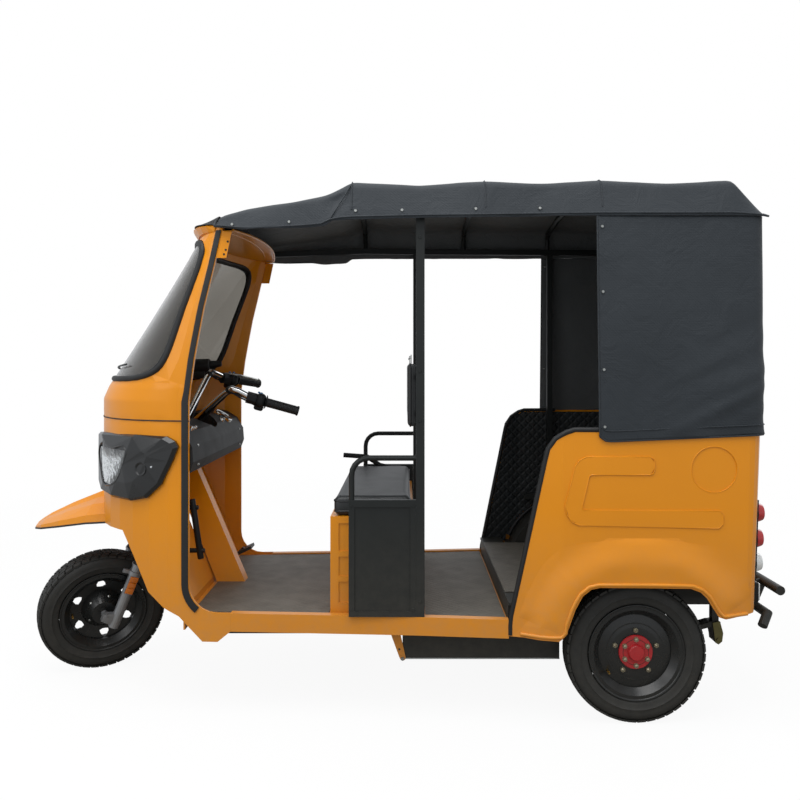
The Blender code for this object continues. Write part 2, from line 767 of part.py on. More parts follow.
# Rear quarters
QUARTER_SIDE = (
    [(STEP_X + 0.0003, SILL_Z[1] - 0.020), (0.551, 0.924)]
    + [(0.560, 0.962), (0.585, 0.998), (0.620, 1.020), (0.677, BODY_TOP_Z)]
    + [(1.400, BODY_TOP_Z), (1.400, 0.402), (1.248, 0.402), (1.155, 0.389), (1.133, 0.396),
       (1.111, 0.430), (1.094, 0.458), (1.071, 0.480), (1.037, ARCH_TOP_Z - 0.003)]
    + [(0.731, ARCH_TOP_Z), (0.700, 0.489), (0.672, 0.466), (0.647, 0.419), (0.627, 0.362),
       (0.616, 0.330), (0.594, 0.309), (STEP_X + 0.0003, 0.309)]
)
RIB_OUTLINE = (
    (0.690, 0.9376), (0.9035, 0.9376), (0.9205, 0.9168), (0.9205, 0.900), (0.9035, 0.876),
    (0.706, 0.876), (0.6974, 0.871), (0.6732, 0.7642), (0.6787, 0.7557), (1.142, 0.7533),
    (1.1535, 0.7397), (1.1535, 0.709), (1.1385, 0.6937), (0.665, 0.7036), (0.631, 0.7244),
    (0.6167, 0.7697), (0.6507, 0.9052), (0.665, 0.9253),
)
RIB_RISE = 0.003
DISC_CENTRE = (1.124, 0.894)
DISC_R = 0.079
DISC_SINK = 0.0025


def arch_flare(x, z):
    """How far the wing swells out round the wheel opening."""
    distance = hypot(x - REAR_AXLE_X, z - 0.2475)
    swell = 1 - abs(distance - 0.300) / 0.11
    return ARCH_FLARE * max(0.0, min(1.0, swell * 2))


def quarter_path():
    """Plan of the rear body side from the step round its rear corner: X, Y."""
    path = [(x, half_width(x)) for x in (STEP_X - 0.01, 0.48, 0.53, 0.57, 0.61, 0.65, 0.70,
                                         0.76, 0.82, 0.88, 0.94, 1.00, 1.06, 1.11, 1.16)]
    corner = (REAR_X - REAR_CORNER_R, half_width(REAR_X) - REAR_CORNER_R)
    return path + arc(corner, REAR_CORNER_R, 90, 0, 4) + [(REAR_X, corner[1] - 0.02)]


def lean_back(x, z):
    """The tail leans forward a little towards its lower edge."""
    share = max(0.0, (x - 1.15) / (REAR_X - 1.15))
    return x - share * REAR_LEAN * (BODY_TOP_Z - z)


def build_rib():
    """The pressed rib's body: it follows the taper of the panel that it stands on."""
    rib = prism(RIB_OUTLINE, "Y", -1.0, 0.0)
    bm = bmesh.new()
    bm.from_mesh(rib.data)
    bend = next(x for x, wide in BODY_PLAN if wide == BODY_PLAN[-1][1])
    bmesh.ops.bisect_plane(bm, geom=bm.verts[:] + bm.edges[:] + bm.faces[:],
                           plane_co=(bend, 0, 0), plane_no=(1, 0, 0))
    for vert in bm.verts:
        rise = RIB_RISE if vert.co.y < -0.5 else -QUARTER_WALL / 2
        vert.co.y = -half_width(vert.co.x) - rise
    bm.to_mesh(rib.data)
    bm.free()
    return rib


def build_quarter():
    """The left rear quarter panel, swollen round the wheel opening."""
    heights = [0.29, 0.35, 0.41, 0.46, 0.50, 0.54, 0.58, 0.62, 0.66, 1.06]
    rows = [[Vector((lean_back(x, z), -(y + arch_flare(x, z)), z))
             for x, y in quarter_path()] for z in heights]
    wall = thick_sheet(rows, QUARTER_WALL, (0.9, 0, 0.7))
    boolean(wall, prism(QUARTER_SIDE, "Y", -0.8, 0.8), "INTERSECT")
    fuse(wall, build_rib())
    side = BODY_PLAN[-1][1]
    disc = arc(DISC_CENTRE, DISC_R, 0, 345, 23)
    seam = TAIL_SEAM_Y
    return cut(wall, prism(disc, "Y", -side - 0.05, DISC_SINK - side),
               box((1.2, 1.4), (-seam, seam), (0.2, 1.2)))


def mirrored(obj):
    """Turn a left-hand piece into its right-hand twin."""
    bm = bmesh.new()
    bm.from_mesh(obj.data)
    bmesh.ops.scale(bm, vec=(1, -1, 1), verts=bm.verts)
    bmesh.ops.reverse_faces(bm, faces=bm.faces)
    bm.to_mesh(obj.data)
    bm.free()
    return obj


def build_rear_panel():
    """Tail panel with a raised pad for the number plate."""
    half = TAIL_SEAM_Y - GAP
    low, high = REAR_FLOOR_Z - FLOOR_T + GAP, BODY_TOP_Z
    front = [(lean_back(REAR_X, z) - QUARTER_WALL, z) for z in (low, high)]
    back = [(lean_back(REAR_X, z), z) for z in (high, low)]
    wide, pad_low, pad_high, rise = PLATE_PAD
    pad = [(lean_back(REAR_X, z) - QUARTER_WALL / 2, z) for z in (pad_low, pad_high)]
    pad += [(lean_back(REAR_X, z) + rise, z) for z in (pad_high, pad_low)]
    return fuse(prism(front + back, "Y", -half, half), prism(pad, "Y", -wide / 2, wide / 2))


# Lamp unit: height and radius of each round lens
TAIL_LENSES = ((0.730, 0.034), (0.640, 0.034), (0.555, 0.034))


def build_tail_lamps(side):
    y = side * 0.480
    spans = sorted((y - 0.045, y + 0.045))
    plate_low, plate_high = 0.500, 0.780
    edge = [(lean_back(REAR_X, z) + GAP, z) for z in (plate_low, plate_high)]
    outer = [(x + 0.012, z) for x, z in reversed(edge)]
    unit = prism(edge + outer, "Y", *spans)
    for z, radius in TAIL_LENSES:
        x = lean_back(REAR_X, z)
        fuse(unit, rod((x + 0.006, y, z), (x + 0.042, y, z), radius, 16, radius * 0.8))
    return unit


BUMPER_R = 0.017
BUMPER_UPPER = (HALF_LENGTH - BUMPER_R, 0.4305)
BUMPER_LOWER = (HALF_LENGTH - 0.050, 0.337)


def build_bumper():
    """Two cross tubes on a pair of side brackets bolted to the rails."""
    x, z = BUMPER_UPPER
    bumper = rod((x, -0.407, z), (x, 0.407, z), BUMPER_R)
    x, z = BUMPER_LOWER
    ends = [(x - 0.030, -0.400, z - 0.036), (x, -0.372, z), (x, 0.372, z),
            (x - 0.030, 0.400, z - 0.036)]
    fuse(bumper, tube(ends, BUMPER_R, 16))
    for side in (-1, 1):
        near, low, high = RAIL_END_X[1] + GAP, BUMPER_LOWER, BUMPER_UPPER
        outline = ((near, 0.345), (low[0] - 0.005, low[1] - 0.012), (low[0] + 0.008, 0.345),
                   (high[0] + 0.007, 0.420), (high[0] - 0.008, 0.442), (near, 0.395))
        fuse(bumper, prism(outline, "Y", side * RAIL_Y - 0.006, side * RAIL_Y + 0.006))
    return bumper


# Driver's seat and the frame behind it
def build_seat_box():
    (front, back), half, top = SEAT_BOX
    seat = box((front, back), (-half, half), (FLOOR_Z + GAP, top))
    for side in (-1, 1):
        for low, high in ((0.395, 0.470), (0.490, 0.560), (0.580, 0.680)):
            span = sorted((side * (half - 0.004), side * (half + 0.01)))
            cut(seat, box((front + 0.030, back - 0.030), span, (low, high)))
    for y in (-0.28, 0.0, 0.28):
        cut(seat, box((front - 0.01, front + 0.004), (y - 0.11, y + 0.11), (0.42, 0.66)))
    return seat


def build_seat_guard(side):
    """Side panel below an armrest loop."""
    outer = half_width(PILLAR_X)
    back = PILLAR_X - PILLAR / 2 - GAP
    y = sorted((side * outer, side * (outer - GUARD_T)))
    guard = box((GUARD_FRONT_X, back), y, (SILL_Z[1] + GAP, GUARD_TOP_Z))
    for face in (outer - 0.004, outer - GUARD_T - 0.01):
        recess = sorted((side * face, side * (face + 0.014)))
        cut(guard, box((GUARD_FRONT_X + 0.020, back - 0.020), recess,
                       (SILL_Z[1] + 0.02, GUARD_TOP_Z - 0.025)))
    middle = side * (outer - GUARD_T / 2)
    x = GUARD_FRONT_X + ARMREST_R
    bend = arc((x + 0.06, ARMREST_Z - ARMREST_R - 0.06), 0.06, 180, 90, 5)
    path = [(x, middle, GUARD_TOP_Z - 0.01)] + [(px, middle, pz) for px, pz in bend]
    path += [(back, middle, ARMREST_Z - ARMREST_R)]
    return fuse(guard, tube(path, ARMREST_R, 10))


def build_centre_frame():
    """The two door pillars behind the driver and the rails that carry the backrest."""
    outer = half_width(PILLAR_X)
    x = (PILLAR_X - PILLAR / 2, PILLAR_X + PILLAR / 2)
    frame = box(x, (-outer, -outer + PILLAR), (SILL_Z[1] + GAP, RAIL_TOP_Z - RAIL - GAP))
    fuse(frame, box(x, (outer - PILLAR, outer), (SILL_Z[1] + GAP, RAIL_TOP_Z - RAIL - GAP)))
    for z in (1.075, 1.205):
        fuse(frame, box((PILLAR_X - 0.010, PILLAR_X + 0.010),
                        (-outer + 0.01, outer - 0.01), (z - 0.010, z + 0.010)))
    return frame


def cushion(x, y, z, edge):
    """A plain padded block with rounded edges."""
    pad = box(x, y, z)
    modifier = pad.modifiers.new("edge", "BEVEL")
    modifier.width = edge
    modifier.segments = 2
    return apply_modifiers(pad)


def build_brake_lever():
    y = 0.459
    path = ((0.020, y, 0.760), (-0.050, y, 0.775), (-0.110, y, 0.815), (-0.222, y, 0.823))
    lever = tube(path, 0.011, 10)
    return fuse(lever, box((-0.020, 0.050), (y - 0.010, y + 0.010), (0.660, 0.775)),
                box((-0.020, 0.050), (0.4303, y + 0.010), (0.660, 0.690)))


def build_pedal():
    arm = tube(((-0.700, 0.200, FLOOR_Z + GAP + 0.012), (-0.690, 0.200, 0.395),
                (-0.640, 0.200, 0.445)), 0.007, 8)
    pad = prism(((-0.660, 0.420), (-0.600, 0.448), (-0.604, 0.460), (-0.664, 0.432)), "Y",
                0.165, 0.235)
    foot = box((-0.718, -0.660), (0.180, 0.220), (FLOOR_Z + GAP, FLOOR_Z + 0.020))
    return fuse(foot, arm, pad)


# Roof structure: X, half width to the outside of the side rail, top Z
ROOF_RAIL = ((-0.575, 0.420, 1.776), (-0.124, 0.475, RAIL_TOP_Z), (0.120, 0.500, RAIL_TOP_Z),
             (0.750, 0.525, RAIL_TOP_Z), (1.262, 0.525, RAIL_TOP_Z))


def rail_half(x):
    return table_value(ROOF_RAIL, x, 1)


def build_roof_frame():
    """Side rails, a front bar on the cab header and four raised bows."""
    frame = None
    for side in (-1, 1):
        rings = []
        for x, wide, top in ROOF_RAIL:
            inner, outer = side * (wide - RAIL), side * wide
            rings.append([(x, inner, top - RAIL), (x, outer, top - RAIL),
                          (x, outer, top), (x, inner, top)])
        rail = loft(rings)
        frame = fuse(frame, rail) if frame else rail
    x, wide, top = ROOF_RAIL[0]
    fuse(frame, box((x, x + RAIL), (-wide + 0.005, wide - 0.005), (HEADER_Z + 0.0065, top)))
    for x in BOW_X:
        wide = rail_half(x) - RAIL / 2
        shoulder = CROWN_Z - 0.052
        path = [(x, -wide, RAIL_TOP_Z - 0.010), (x, -wide + 0.005, shoulder - 0.020),
                (x, -wide + 0.030, shoulder), (x, -0.25, CROWN_Z - 0.027),
                (x, 0, CROWN_Z - 0.024), (x, 0.25, CROWN_Z - 0.027),
                (x, wide - 0.030, shoulder), (x, wide - 0.005, shoulder - 0.020),
                (x, wide, RAIL_TOP_Z - 0.010)]
        fuse(frame, tube(path, BOW_R, 6))
    return frame


def build_rear_pillars(side):
    """Two posts on a foot rail above the wheelhouse, up to the roof rail."""
    outer = side * rail_half(0.76)
    inner = outer - side * RAIL
    y = sorted((inner, outer))
    foot_z = 0.2775 + WHEELHOUSE_R + GAP
    posts = box((0.640, 1.240), y, (foot_z, foot_z + RAIL))
    for x in (0.750, 1.215):
        fuse(posts, box((x, x + RAIL), y, (foot_z, RAIL_TOP_Z - RAIL - GAP)))
    return posts


# Fabric roof: X, hem half width, hem Z, eave half width, eave Z, crown Z
CANOPY_STATIONS = (
    (-0.612, 0.470, 1.745, 0.450, 1.760, 1.796),
    (-0.590, 0.474, 1.742, 0.452, 1.778, 1.812),
    (-0.500, 0.487, 1.729, 0.463, 1.797, 1.834),
    (-0.300, 0.500, 1.733, 0.480, 1.828, 1.866),
    (-0.210, 0.508, 1.739, 0.487, 1.843, 1.882),
    (-0.188, 0.510, 1.757, 0.489, 1.851, 1.892),
    (-0.118, 0.515, 1.759, 0.492, EAVE_Z, CROWN_Z),
    (0.118, 0.533, 1.762, 0.505, 1.876, 1.917),
    (0.349, 0.540, 1.763, 0.513, EAVE_Z, CROWN_Z),
    (0.552, 0.548, 1.765, 0.520, 1.878, 1.918),
    (0.751, 0.555, HEM_Z, 0.525, EAVE_Z, CROWN_Z),
    (0.985, 0.558, HEM_Z, 0.527, 1.877, 1.918),
    (1.213, 0.558, HEM_Z, 0.527, EAVE_Z, CROWN_Z),
    (1.295, 0.558, HEM_Z, 0.520, 1.800, 1.812),
    (1.322, 0.556, HEM_Z - 0.004, 0.515, 1.774, 1.778),
)


def canopy_section(x, hem_y, hem_z, eave_y, eave_z, crown_z):
    """Half section from hem over the eave to the crown, mirrored to both sides."""
    rise = crown_z - eave_z
    half = [(hem_y, hem_z), (hem_y * 0.45 + eave_y * 0.55, hem_z * 0.45 + eave_z * 0.55),
            (eave_y, eave_z), (eave_y - 0.020, eave_z + rise * 0.35),
            (eave_y - 0.120, eave_z + rise * 0.62), (0.22, eave_z + rise * 0.88),
            (0.0, crown_z)]
    left = [Vector((x, -y, z)) for y, z in half]
    right = [Vector((x, y, z)) for y, z in reversed(half[:-1])]
    return left + right


def build_canopy():
    rows = [canopy_section(*station) for station in CANOPY_STATIONS]
    return thick_sheet(rows, FABRIC_T, (0.4, 0, 1.2))


def build_curtain():
    """Rear curtain: both sides and the back in one sheet, outside the body's top edge."""
    rows = []
    for z, side_y, back_x in ((CURTAIN_HEM_Z, 0.5855, REAR_X + 0.0065),
                              (1.035, 0.5855, REAR_X + 0.007),
                              (1.40, 0.566, 1.311), (HEM_Z - GAP, 0.549, 1.315)):
        corner = 0.045
        path = [(CURTAIN_FRONT_X, -side_y), (0.95, -side_y), (back_x - corner, -side_y)]
        path += arc((back_x - corner, -side_y + corner), corner, -75, -15, 3)
        path += [(back_x, -side_y + corner), (back_x, side_y - corner)]
        path += arc((back_x - corner, side_y - corner), corner, 15, 75, 3)
        path += [(back_x - corner, side_y), (0.95, side_y), (CURTAIN_FRONT_X, side_y)]
        rows.append([Vector((x, y, z)) for x, y in path])
    return thick_sheet(rows, FABRIC_T, (0.9, 0, 1.4))


# Passenger bench
BENCH_TOP_Z = 0.665


def build_bench_base():
    foot = WHEELHOUSE_INNER_Y - 0.006
    base = box((0.800, 1.200), (-foot, foot), (REAR_FLOOR_Z + GAP, 0.650))
    return fuse(base, box((0.780, 1.225), (-0.494, 0.494), (0.645, BENCH_TOP_Z)))


# Battery and drive
def build_battery_tray():
    x = (0.060, 0.627)
    tray = box(x, (-0.420, 0.420), (0.190, 0.194))
    for side in (-1, 1):
        y = sorted((side * 0.416, side * 0.420))
        fuse(tray, box(x, y, (0.190, FLOOR_Z - FLOOR_T - GAP)))
    for wall in ((0.060, 0.064), (0.623, 0.627)):
        fuse(tray, box(wall, (-0.420, 0.420), (0.190, 0.234)))
    return tray


def build_rear_axle():
    """Axle tube with the drive motor and gear housing, drums and wheel stubs."""
    z = TYRE_R
    drum, stub = REAR_TRACK / 2 - 0.105, REAR_TRACK / 2 + 0.027
    half = drum + 0.004
    axle = rod((REAR_AXLE_X, -half, z), (REAR_AXLE_X, half, z), 0.035, 20)
    fuse(axle, rod((REAR_AXLE_X, -0.070, z), (REAR_AXLE_X, 0.080, z), 0.085, 20),
         rod((REAR_AXLE_X - 0.130, 0.079, z), (REAR_AXLE_X - 0.130, 0.230, z), 0.062, 16),
         box((REAR_AXLE_X - 0.150, REAR_AXLE_X + 0.020), (0.020, 0.079), (z - 0.055, z + 0.055)))
    for side in (-1, 1):
        fuse(axle, rod((REAR_AXLE_X, side * drum, z), (REAR_AXLE_X, side * (drum + 0.052), z),
                       0.085, 20),
             rod((REAR_AXLE_X, side * (drum + 0.050), z), (REAR_AXLE_X, side * stub, z),
                 AXLE_STUB_R, 20))
    return axle


def build_leaf_spring(side):
    under = TYRE_R - 0.035 - GAP
    (front, back), (front_z, back_z) = SPRING_X, SPRING_EYE_Z
    outline = ((front, front_z), (front + 0.030, front_z), (0.700, 0.2450), (0.820, under),
               (0.930, under), (1.060, 0.2350), (back - 0.042, back_z), (back - 0.002, back_z),
               (back, 0.215), (back - 0.024, 0.205), (back - 0.036, 0.262), (1.060, 0.218),
               (0.940, under - 0.034), (0.810, under - 0.034), (0.690, 0.226),
               (front + 0.005, front_z - 0.014))
    y = sorted((side * (RAIL_Y - 0.025), side * (RAIL_Y + 0.025)))
    return prism(outline, "Y", *y)


# Wheels
def tyre_profile():
    """Half-turned section of the tyre as axial distance and radius."""
    wide = TYRE_W / 2
    side = [(0.55 * wide, TYRE_R - 0.0015), (0.88 * wide, TYRE_R - 0.0105),
            (wide, TYRE_R - 0.0380), (0.95 * wide, TYRE_R - 0.0615),
            (BEAD_HALF_W + FLANGE_T, FLANGE_R + 0.004), (BEAD_HALF_W - GAP, FLANGE_R + GAP),
            (BEAD_HALF_W - GAP, BEAD_R + GAP)]
    return [(0.0, TYRE_R)] + side + [(-y, r) for y, r in reversed(side)]


def build_tyre(phase=0.0):
    return revolve(tyre_profile(), WHEEL_SEGMENTS, phase)


def rim_profile(disc_y, hub_y):
    """Closed section of barrel, dished disc and hub; disc_y is where the disc lies."""
    lip = BEAD_HALF_W + FLANGE_T
    inner = RIM_WELL_R - RIM_WALL
    return [
        (-lip, FLANGE_R), (-BEAD_HALF_W, FLANGE_R), (-BEAD_HALF_W, BEAD_R),
        (BEAD_HALF_W, BEAD_R), (BEAD_HALF_W, FLANGE_R), (lip, FLANGE_R),
        (lip, BEAD_R - 0.003), (0.018, inner), (disc_y + 0.003, inner),
        (disc_y + 0.012, 0.085), (disc_y + 0.012, 0.050), (hub_y[1], 0.046),
        (hub_y[1], HUB_BORE_R), (hub_y[0], HUB_BORE_R), (hub_y[0], 0.046),
        (disc_y + 0.008, 0.082), (disc_y - 0.001, inner), (-0.018, inner),
        (-lip, BEAD_R - 0.003),
    ]


FRONT_HOLES = 6
FRONT_HOLE_PITCH_R = 0.108
FRONT_HOLE_PHASE = radians(54)


def build_front_rim(phase):
    """Rim with six rounded three-cornered holes in its disc."""
    rim = revolve(rim_profile(-0.002, (-0.045, 0.045)), WHEEL_SEGMENTS, phase)
    for number in range(FRONT_HOLES):
        angle = FRONT_HOLE_PHASE + number * 2 * pi / FRONT_HOLES
        outline = []
        for x, z in arc((0.0, 0.0), 0.017, 90, 430, 9):
            pull = 1 + 0.18 * cos(3 * atan2(z, x))
            outline.append((x * pull, z * pull))
        turned = [(FRONT_HOLE_PITCH_R * cos(angle) + x * cos(angle) - z * sin(angle),
                   FRONT_HOLE_PITCH_R * sin(angle) + x * sin(angle) + z * cos(angle))
                  for x, z in outline]
        cut(rim, prism(turned, "Y", -0.030, 0.030))
    return rim


def build_rear_rim(side):
    profile = rim_profile(0.010, (-0.004, 0.032))
    return revolve([(side * y, r) for y, r in profile], WHEEL_SEGMENTS)


# Fork and handlebar, in the frame of the steering axis
def build_fork():
    crown_low, crown_high = FORK_CROWN
    fork = rod((0, 0, crown_low + 0.01), (0, 0, STEM_TOP), STEM_R, 20)
    fuse(fork, box((-0.030, LEG_SETBACK + 0.026), (-LEG_SPREAD - 0.026, LEG_SPREAD + 0.026),
                   (crown_low, crown_high)))
    for side in (-1, 1):
        y = side * LEG_SPREAD
        fuse(fork, rod((LEG_SETBACK, y, 0.10), (LEG_SETBACK, y, crown_high - 0.005),
                       STANCHION_R, 16),
             rod((LEG_SETBACK, y, -0.032), (LEG_SETBACK, y, 0.243), SLIDER_R, 16))
        lug = sorted((y - side * 0.012, y + side * 0.012))
        fuse(fork, prism(((-AXLE_LEAD - 0.014, -0.014), (LEG_SETBACK, -0.026),
                          (LEG_SETBACK, 0.030), (-AXLE_LEAD - 0.014, 0.014)), "Y", *lug))
    return fuse(fork, rod((-AXLE_LEAD, -LEG_SPREAD - 0.02, 0), (-AXLE_LEAD, LEG_SPREAD + 0.02, 0),
                          AXLE_STUB_R, 20))


# Handlebar from the stem outwards: forward-back, across, up along the axis
BAR_ROUTE = ((0.000, 0.000, 0.822), (0.006, 0.035, 0.826), (0.060, 0.150, 1.020),
             (0.073, 0.170, 1.051), (0.100, 0.180, 1.051), (0.160, 0.200, 1.043),
             (0.328, 0.265, 1.061))


def build_handlebar():
    low = STEM_TOP + GAP
    bar = rod((0, 0, low), (0, 0, low + 0.040), 0.026, 16)
    for side in (-1, 1):
        route = [(x, side * y, z) for x, y, z in BAR_ROUTE]
        start, end = Vector(route[-2]), Vector(route[-1])
        fuse(bar, tube(route, BAR_R, 10),
             rod(start + (end - start) * 0.20, end + (end - start) * 0.03, GRIP_R, 12),
             rod(start - (end - start) * 0.14, start + (end - start) * 0.17, 0.024, 10))
    return bar


def make_axis(name, matrix):
    empty = bpy.data.objects.new(name, None)
    bpy.context.scene.collection.objects.link(empty)
    empty.matrix_world = matrix
    return empty


def add_fixed_pieces():
    """Everything that belongs to the body and doesn't move."""
    finish(build_chassis(), "chassis_frame", "frame_black")
    finish(build_floor_pan(), "floor_pan", "body_paint")
    finish(build_rear_tub(), "rear_tub", "frame_black")
    finish(build_cowl(), "cab_cowl", "body_paint")
    finish(build_screen_frame(), "windscreen_frame", "body_paint")
    finish(build_windscreen(), "windscreen", "glass")
    finish(build_fender(), "front_fender", "body_paint")
    finish(build_down_tube(), "steering_head", "body_paint")
    finish(build_bulkhead(), "front_bulkhead", "body_paint")
    finish(build_dashboard(), "dashboard", "black_plastic")
    finish(build_pedal(), "brake_pedal", "frame_black")
    finish(build_seat_box(), "seat_box", "body_paint")
    (front, back), _, top = SEAT_BOX
    finish(cushion((front + 0.003, back), (-0.440, 0.440), (top + GAP, top + CUSHION_T), 0.02),
           "driver_cushion", "seat_vinyl")
    finish(build_centre_frame(), "centre_frame", "frame_black")
    finish(cushion((0.078, PILLAR_X - 0.010 - GAP), (-0.420, 0.420), (1.022, 1.260), 0.010),
           "driver_backrest", "seat_vinyl")
    finish(build_brake_lever(), "parking_brake_lever", "black_plastic")
    finish(build_roof_frame(), "roof_frame", "frame_black")
    finish(build_canopy(), "canopy", "canopy_fabric")
    finish(build_curtain(), "rear_curtain", "canopy_fabric")
    finish(build_rear_panel(), "rear_panel", "body_paint")
    finish(build_bumper(), "rear_bumper", "frame_black")
    finish(build_bench_base(), "bench_base", "frame_black")
    finish(cushion((0.775, 1.130), (-0.490, 0.490), (BENCH_TOP_Z + GAP, 0.765), 0.025),
           "bench_cushion", "seat_vinyl")
    finish(cushion((1.135, 1.225), (-0.490, 0.490), (BENCH_TOP_Z + GAP, 1.320), 0.025),
           "bench_backrest", "seat_vinyl")
    finish(build_battery_tray(), "battery_tray", "frame_black")
    finish(box((0.100, 0.600), (-0.240, 0.240), (0.194 + GAP, 0.335)), "battery_pack",
           "black_plastic")
    finish(build_rear_axle(), "rear_axle", "axle_grey")


def add_paired_pieces():
    """Pieces that the left and the right side each have."""
    for side, label in ((-1, "left"), (1, "right")):
        pod, lens = build_headlamp(side)
        finish(pod, f"headlamp_pod_{label}", "black_plastic")
        finish(lens, f"headlamp_lens_{label}", "glass")
        finish(build_seat_guard(side), f"seat_guard_{label}", "frame_black")
        finish(build_rear_pillars(side), f"rear_pillars_{label}", "frame_black")
        quarter = build_quarter() if side < 0 else mirrored(build_quarter())
        finish(quarter, f"rear_quarter_{label}", "body_paint")
        finish(build_tail_lamps(side), f"tail_lamps_{label}", "lamp_red")
        finish(build_leaf_spring(side), f"leaf_spring_{label}", "frame_black")


def add_moving_pieces():
    """Steering, front wheel and rear wheels, each under the axis that it turns on."""
    turned = steering_frame() @ Matrix.Rotation(STEER_REST, 4, "Z")
    steering = make_axis("steering_axis", turned)
    finish(build_fork(), "front_fork", "fork_grey", steering)
    finish(build_handlebar(), "handlebar", "black_plastic", steering)
    front = make_axis("front_wheel_axis", turned @ Matrix.Translation((-AXLE_LEAD, 0, 0)))
    down = turned.to_3x3().inverted() @ Vector((0, 0, -1))
    contact = atan2(down.z, down.x)
    finish(build_front_rim(contact), "front_rim", "rim_black", front)
    finish(build_tyre(contact), "front_tyre", "rubber", front)
    for side, label in ((-1, "left"), (1, "right")):
        centre = Matrix.Translation((REAR_AXLE_X, side * REAR_TRACK / 2, TYRE_R))
        axis = make_axis(f"rear_{label}_wheel_axis", centre)
        finish(build_rear_rim(side), f"rear_rim_{label}", "rim_black", axis)
        finish(build_tyre(), f"rear_tyre_{label}", "rubber", axis)


clear_scene()
add_fixed_pieces()
add_paired_pieces()
add_moving_pieces()
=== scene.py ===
# %% [markdown]
# # A three-wheeled electric passenger vehicle
# The solid model of the vehicle is already there as a fixed frame: sheet metal, tubes,
# wheels, seats. This lesson gives it its looks. Each step says what a piece or a finish is
# on the real vehicle, how it could be made, and why this way was chosen.

# %% Load the frame
import json
from math import acos, asin, cos, degrees, hypot, pi, radians, sin, sqrt

import bmesh
import bpy
from mathutils import Matrix, Vector, noise


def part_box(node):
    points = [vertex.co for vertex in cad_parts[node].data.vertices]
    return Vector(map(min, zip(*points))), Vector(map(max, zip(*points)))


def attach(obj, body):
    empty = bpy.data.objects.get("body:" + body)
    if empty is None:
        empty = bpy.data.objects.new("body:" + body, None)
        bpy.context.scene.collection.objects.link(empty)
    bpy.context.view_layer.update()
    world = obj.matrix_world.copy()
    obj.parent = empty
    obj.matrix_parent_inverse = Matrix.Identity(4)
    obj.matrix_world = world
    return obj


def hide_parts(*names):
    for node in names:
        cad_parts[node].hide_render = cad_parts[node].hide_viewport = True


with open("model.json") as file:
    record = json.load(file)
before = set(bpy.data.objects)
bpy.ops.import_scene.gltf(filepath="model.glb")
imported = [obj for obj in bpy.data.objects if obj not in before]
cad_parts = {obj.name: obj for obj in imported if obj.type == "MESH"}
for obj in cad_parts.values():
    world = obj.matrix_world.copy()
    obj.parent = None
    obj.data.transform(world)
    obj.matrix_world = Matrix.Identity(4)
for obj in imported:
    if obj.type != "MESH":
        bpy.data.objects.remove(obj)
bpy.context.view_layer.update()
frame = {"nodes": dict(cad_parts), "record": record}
nodes = frame["nodes"]

# %% [markdown]
# ## Camera
# The photograph was taken level and square to the side, from a little over three metres.
# A camera could be turned to frame the vehicle, but turning it would bend the verticals, so
# it looks straight along +Y and its lens is shifted instead, as a technical camera's is.

# %% Camera
FOCAL_PX = 783.0
EYE = Vector((0.069, -3.25, 1.254))
EYE_PX = (405.0, 364.0)
PICTURE = 800.0
SENSOR_MM = 36.0

camera_data = bpy.data.cameras.new("camera")
camera_data.sensor_width = SENSOR_MM
camera_data.lens = FOCAL_PX / PICTURE * SENSOR_MM
camera_data.shift_x = -(EYE_PX[0] - PICTURE / 2) / PICTURE
camera_data.shift_y = -(PICTURE / 2 - EYE_PX[1]) / PICTURE
camera = bpy.data.objects.new("camera", camera_data)
camera.location = EYE
camera.rotation_euler = (pi / 2, 0.0, 0.0)
bpy.context.scene.collection.objects.link(camera)
bpy.context.scene.camera = camera
print("lens", round(camera_data.lens, 2), "mm")

# %% A place on the vehicle from a place in the picture
def seen(px, py, y):
    """X and Z of what the picture shows at a pixel, for a piece that lies at depth y."""
    scale = (y - EYE.y) / FOCAL_PX
    return EYE.x + (px - EYE_PX[0]) * scale, EYE.z - (py - EYE_PX[1]) * scale

# %% [markdown]
# ## Floor and light
# A studio shot of a dark roof over bright paint needs soft light from nearly everywhere.
# One lamp would leave the open cab black, so a pale sky does most of the work, and three
# large soft boxes model the panels. The floor is pale and keeps the shadow; it fades into
# the background a few metres out, so no horizon cuts the picture.

# %% One function for every node
def add(tree, kind, sockets=None, **settings):
    """Add a shader node; sockets take a value or the output socket that feeds them."""
    node = tree.nodes.new("ShaderNode" + kind)
    for name, value in settings.items():
        setattr(node, name, value)
    for name, value in (sockets or {}).items():
        if isinstance(value, bpy.types.NodeSocket):
            tree.links.new(value, node.inputs[name])
        else:
            node.inputs[name].default_value = value
    return node

# %% Two colours in a changing share; the Mix node keeps its colour sockets at 6 and 7
def add_blend(tree, share, first, second):
    return add(tree, "Mix", {0: share, 6: first, 7: second}, data_type="RGBA").outputs[2]

# %% Colours are written as on a paint chart and turned to linear light
def paint(code, alpha=1.0):
    parts = [int(code[i:i + 2], 16) / 255 for i in (1, 3, 5)]
    return (*[p / 12.92 if p <= 0.04045 else ((p + 0.055) / 1.055) ** 2.4 for p in parts], alpha)

# %% Sky
SKY_STRENGTH = 0.80
world = bpy.data.worlds.new("studio")
bpy.context.scene.world = world
world.use_nodes = True
sky = world.node_tree
sky.nodes.clear()
path = add(sky, "LightPath")
straight = add(sky, "Math", {0: path.outputs["Is Camera Ray"],
                             1: path.outputs["Is Transmission Ray"]}, operation="MAXIMUM")
light = add(sky, "Background", {"Color": paint("#EEF1F5"), "Strength": SKY_STRENGTH})
back = add(sky, "Background", {"Color": paint("#FFFFFF"), "Strength": 1.0})
both = add(sky, "MixShader", {0: straight.outputs[0], 1: light.outputs[0], 2: back.outputs[0]})
add(sky, "OutputWorld", {"Surface": both.outputs[0]})

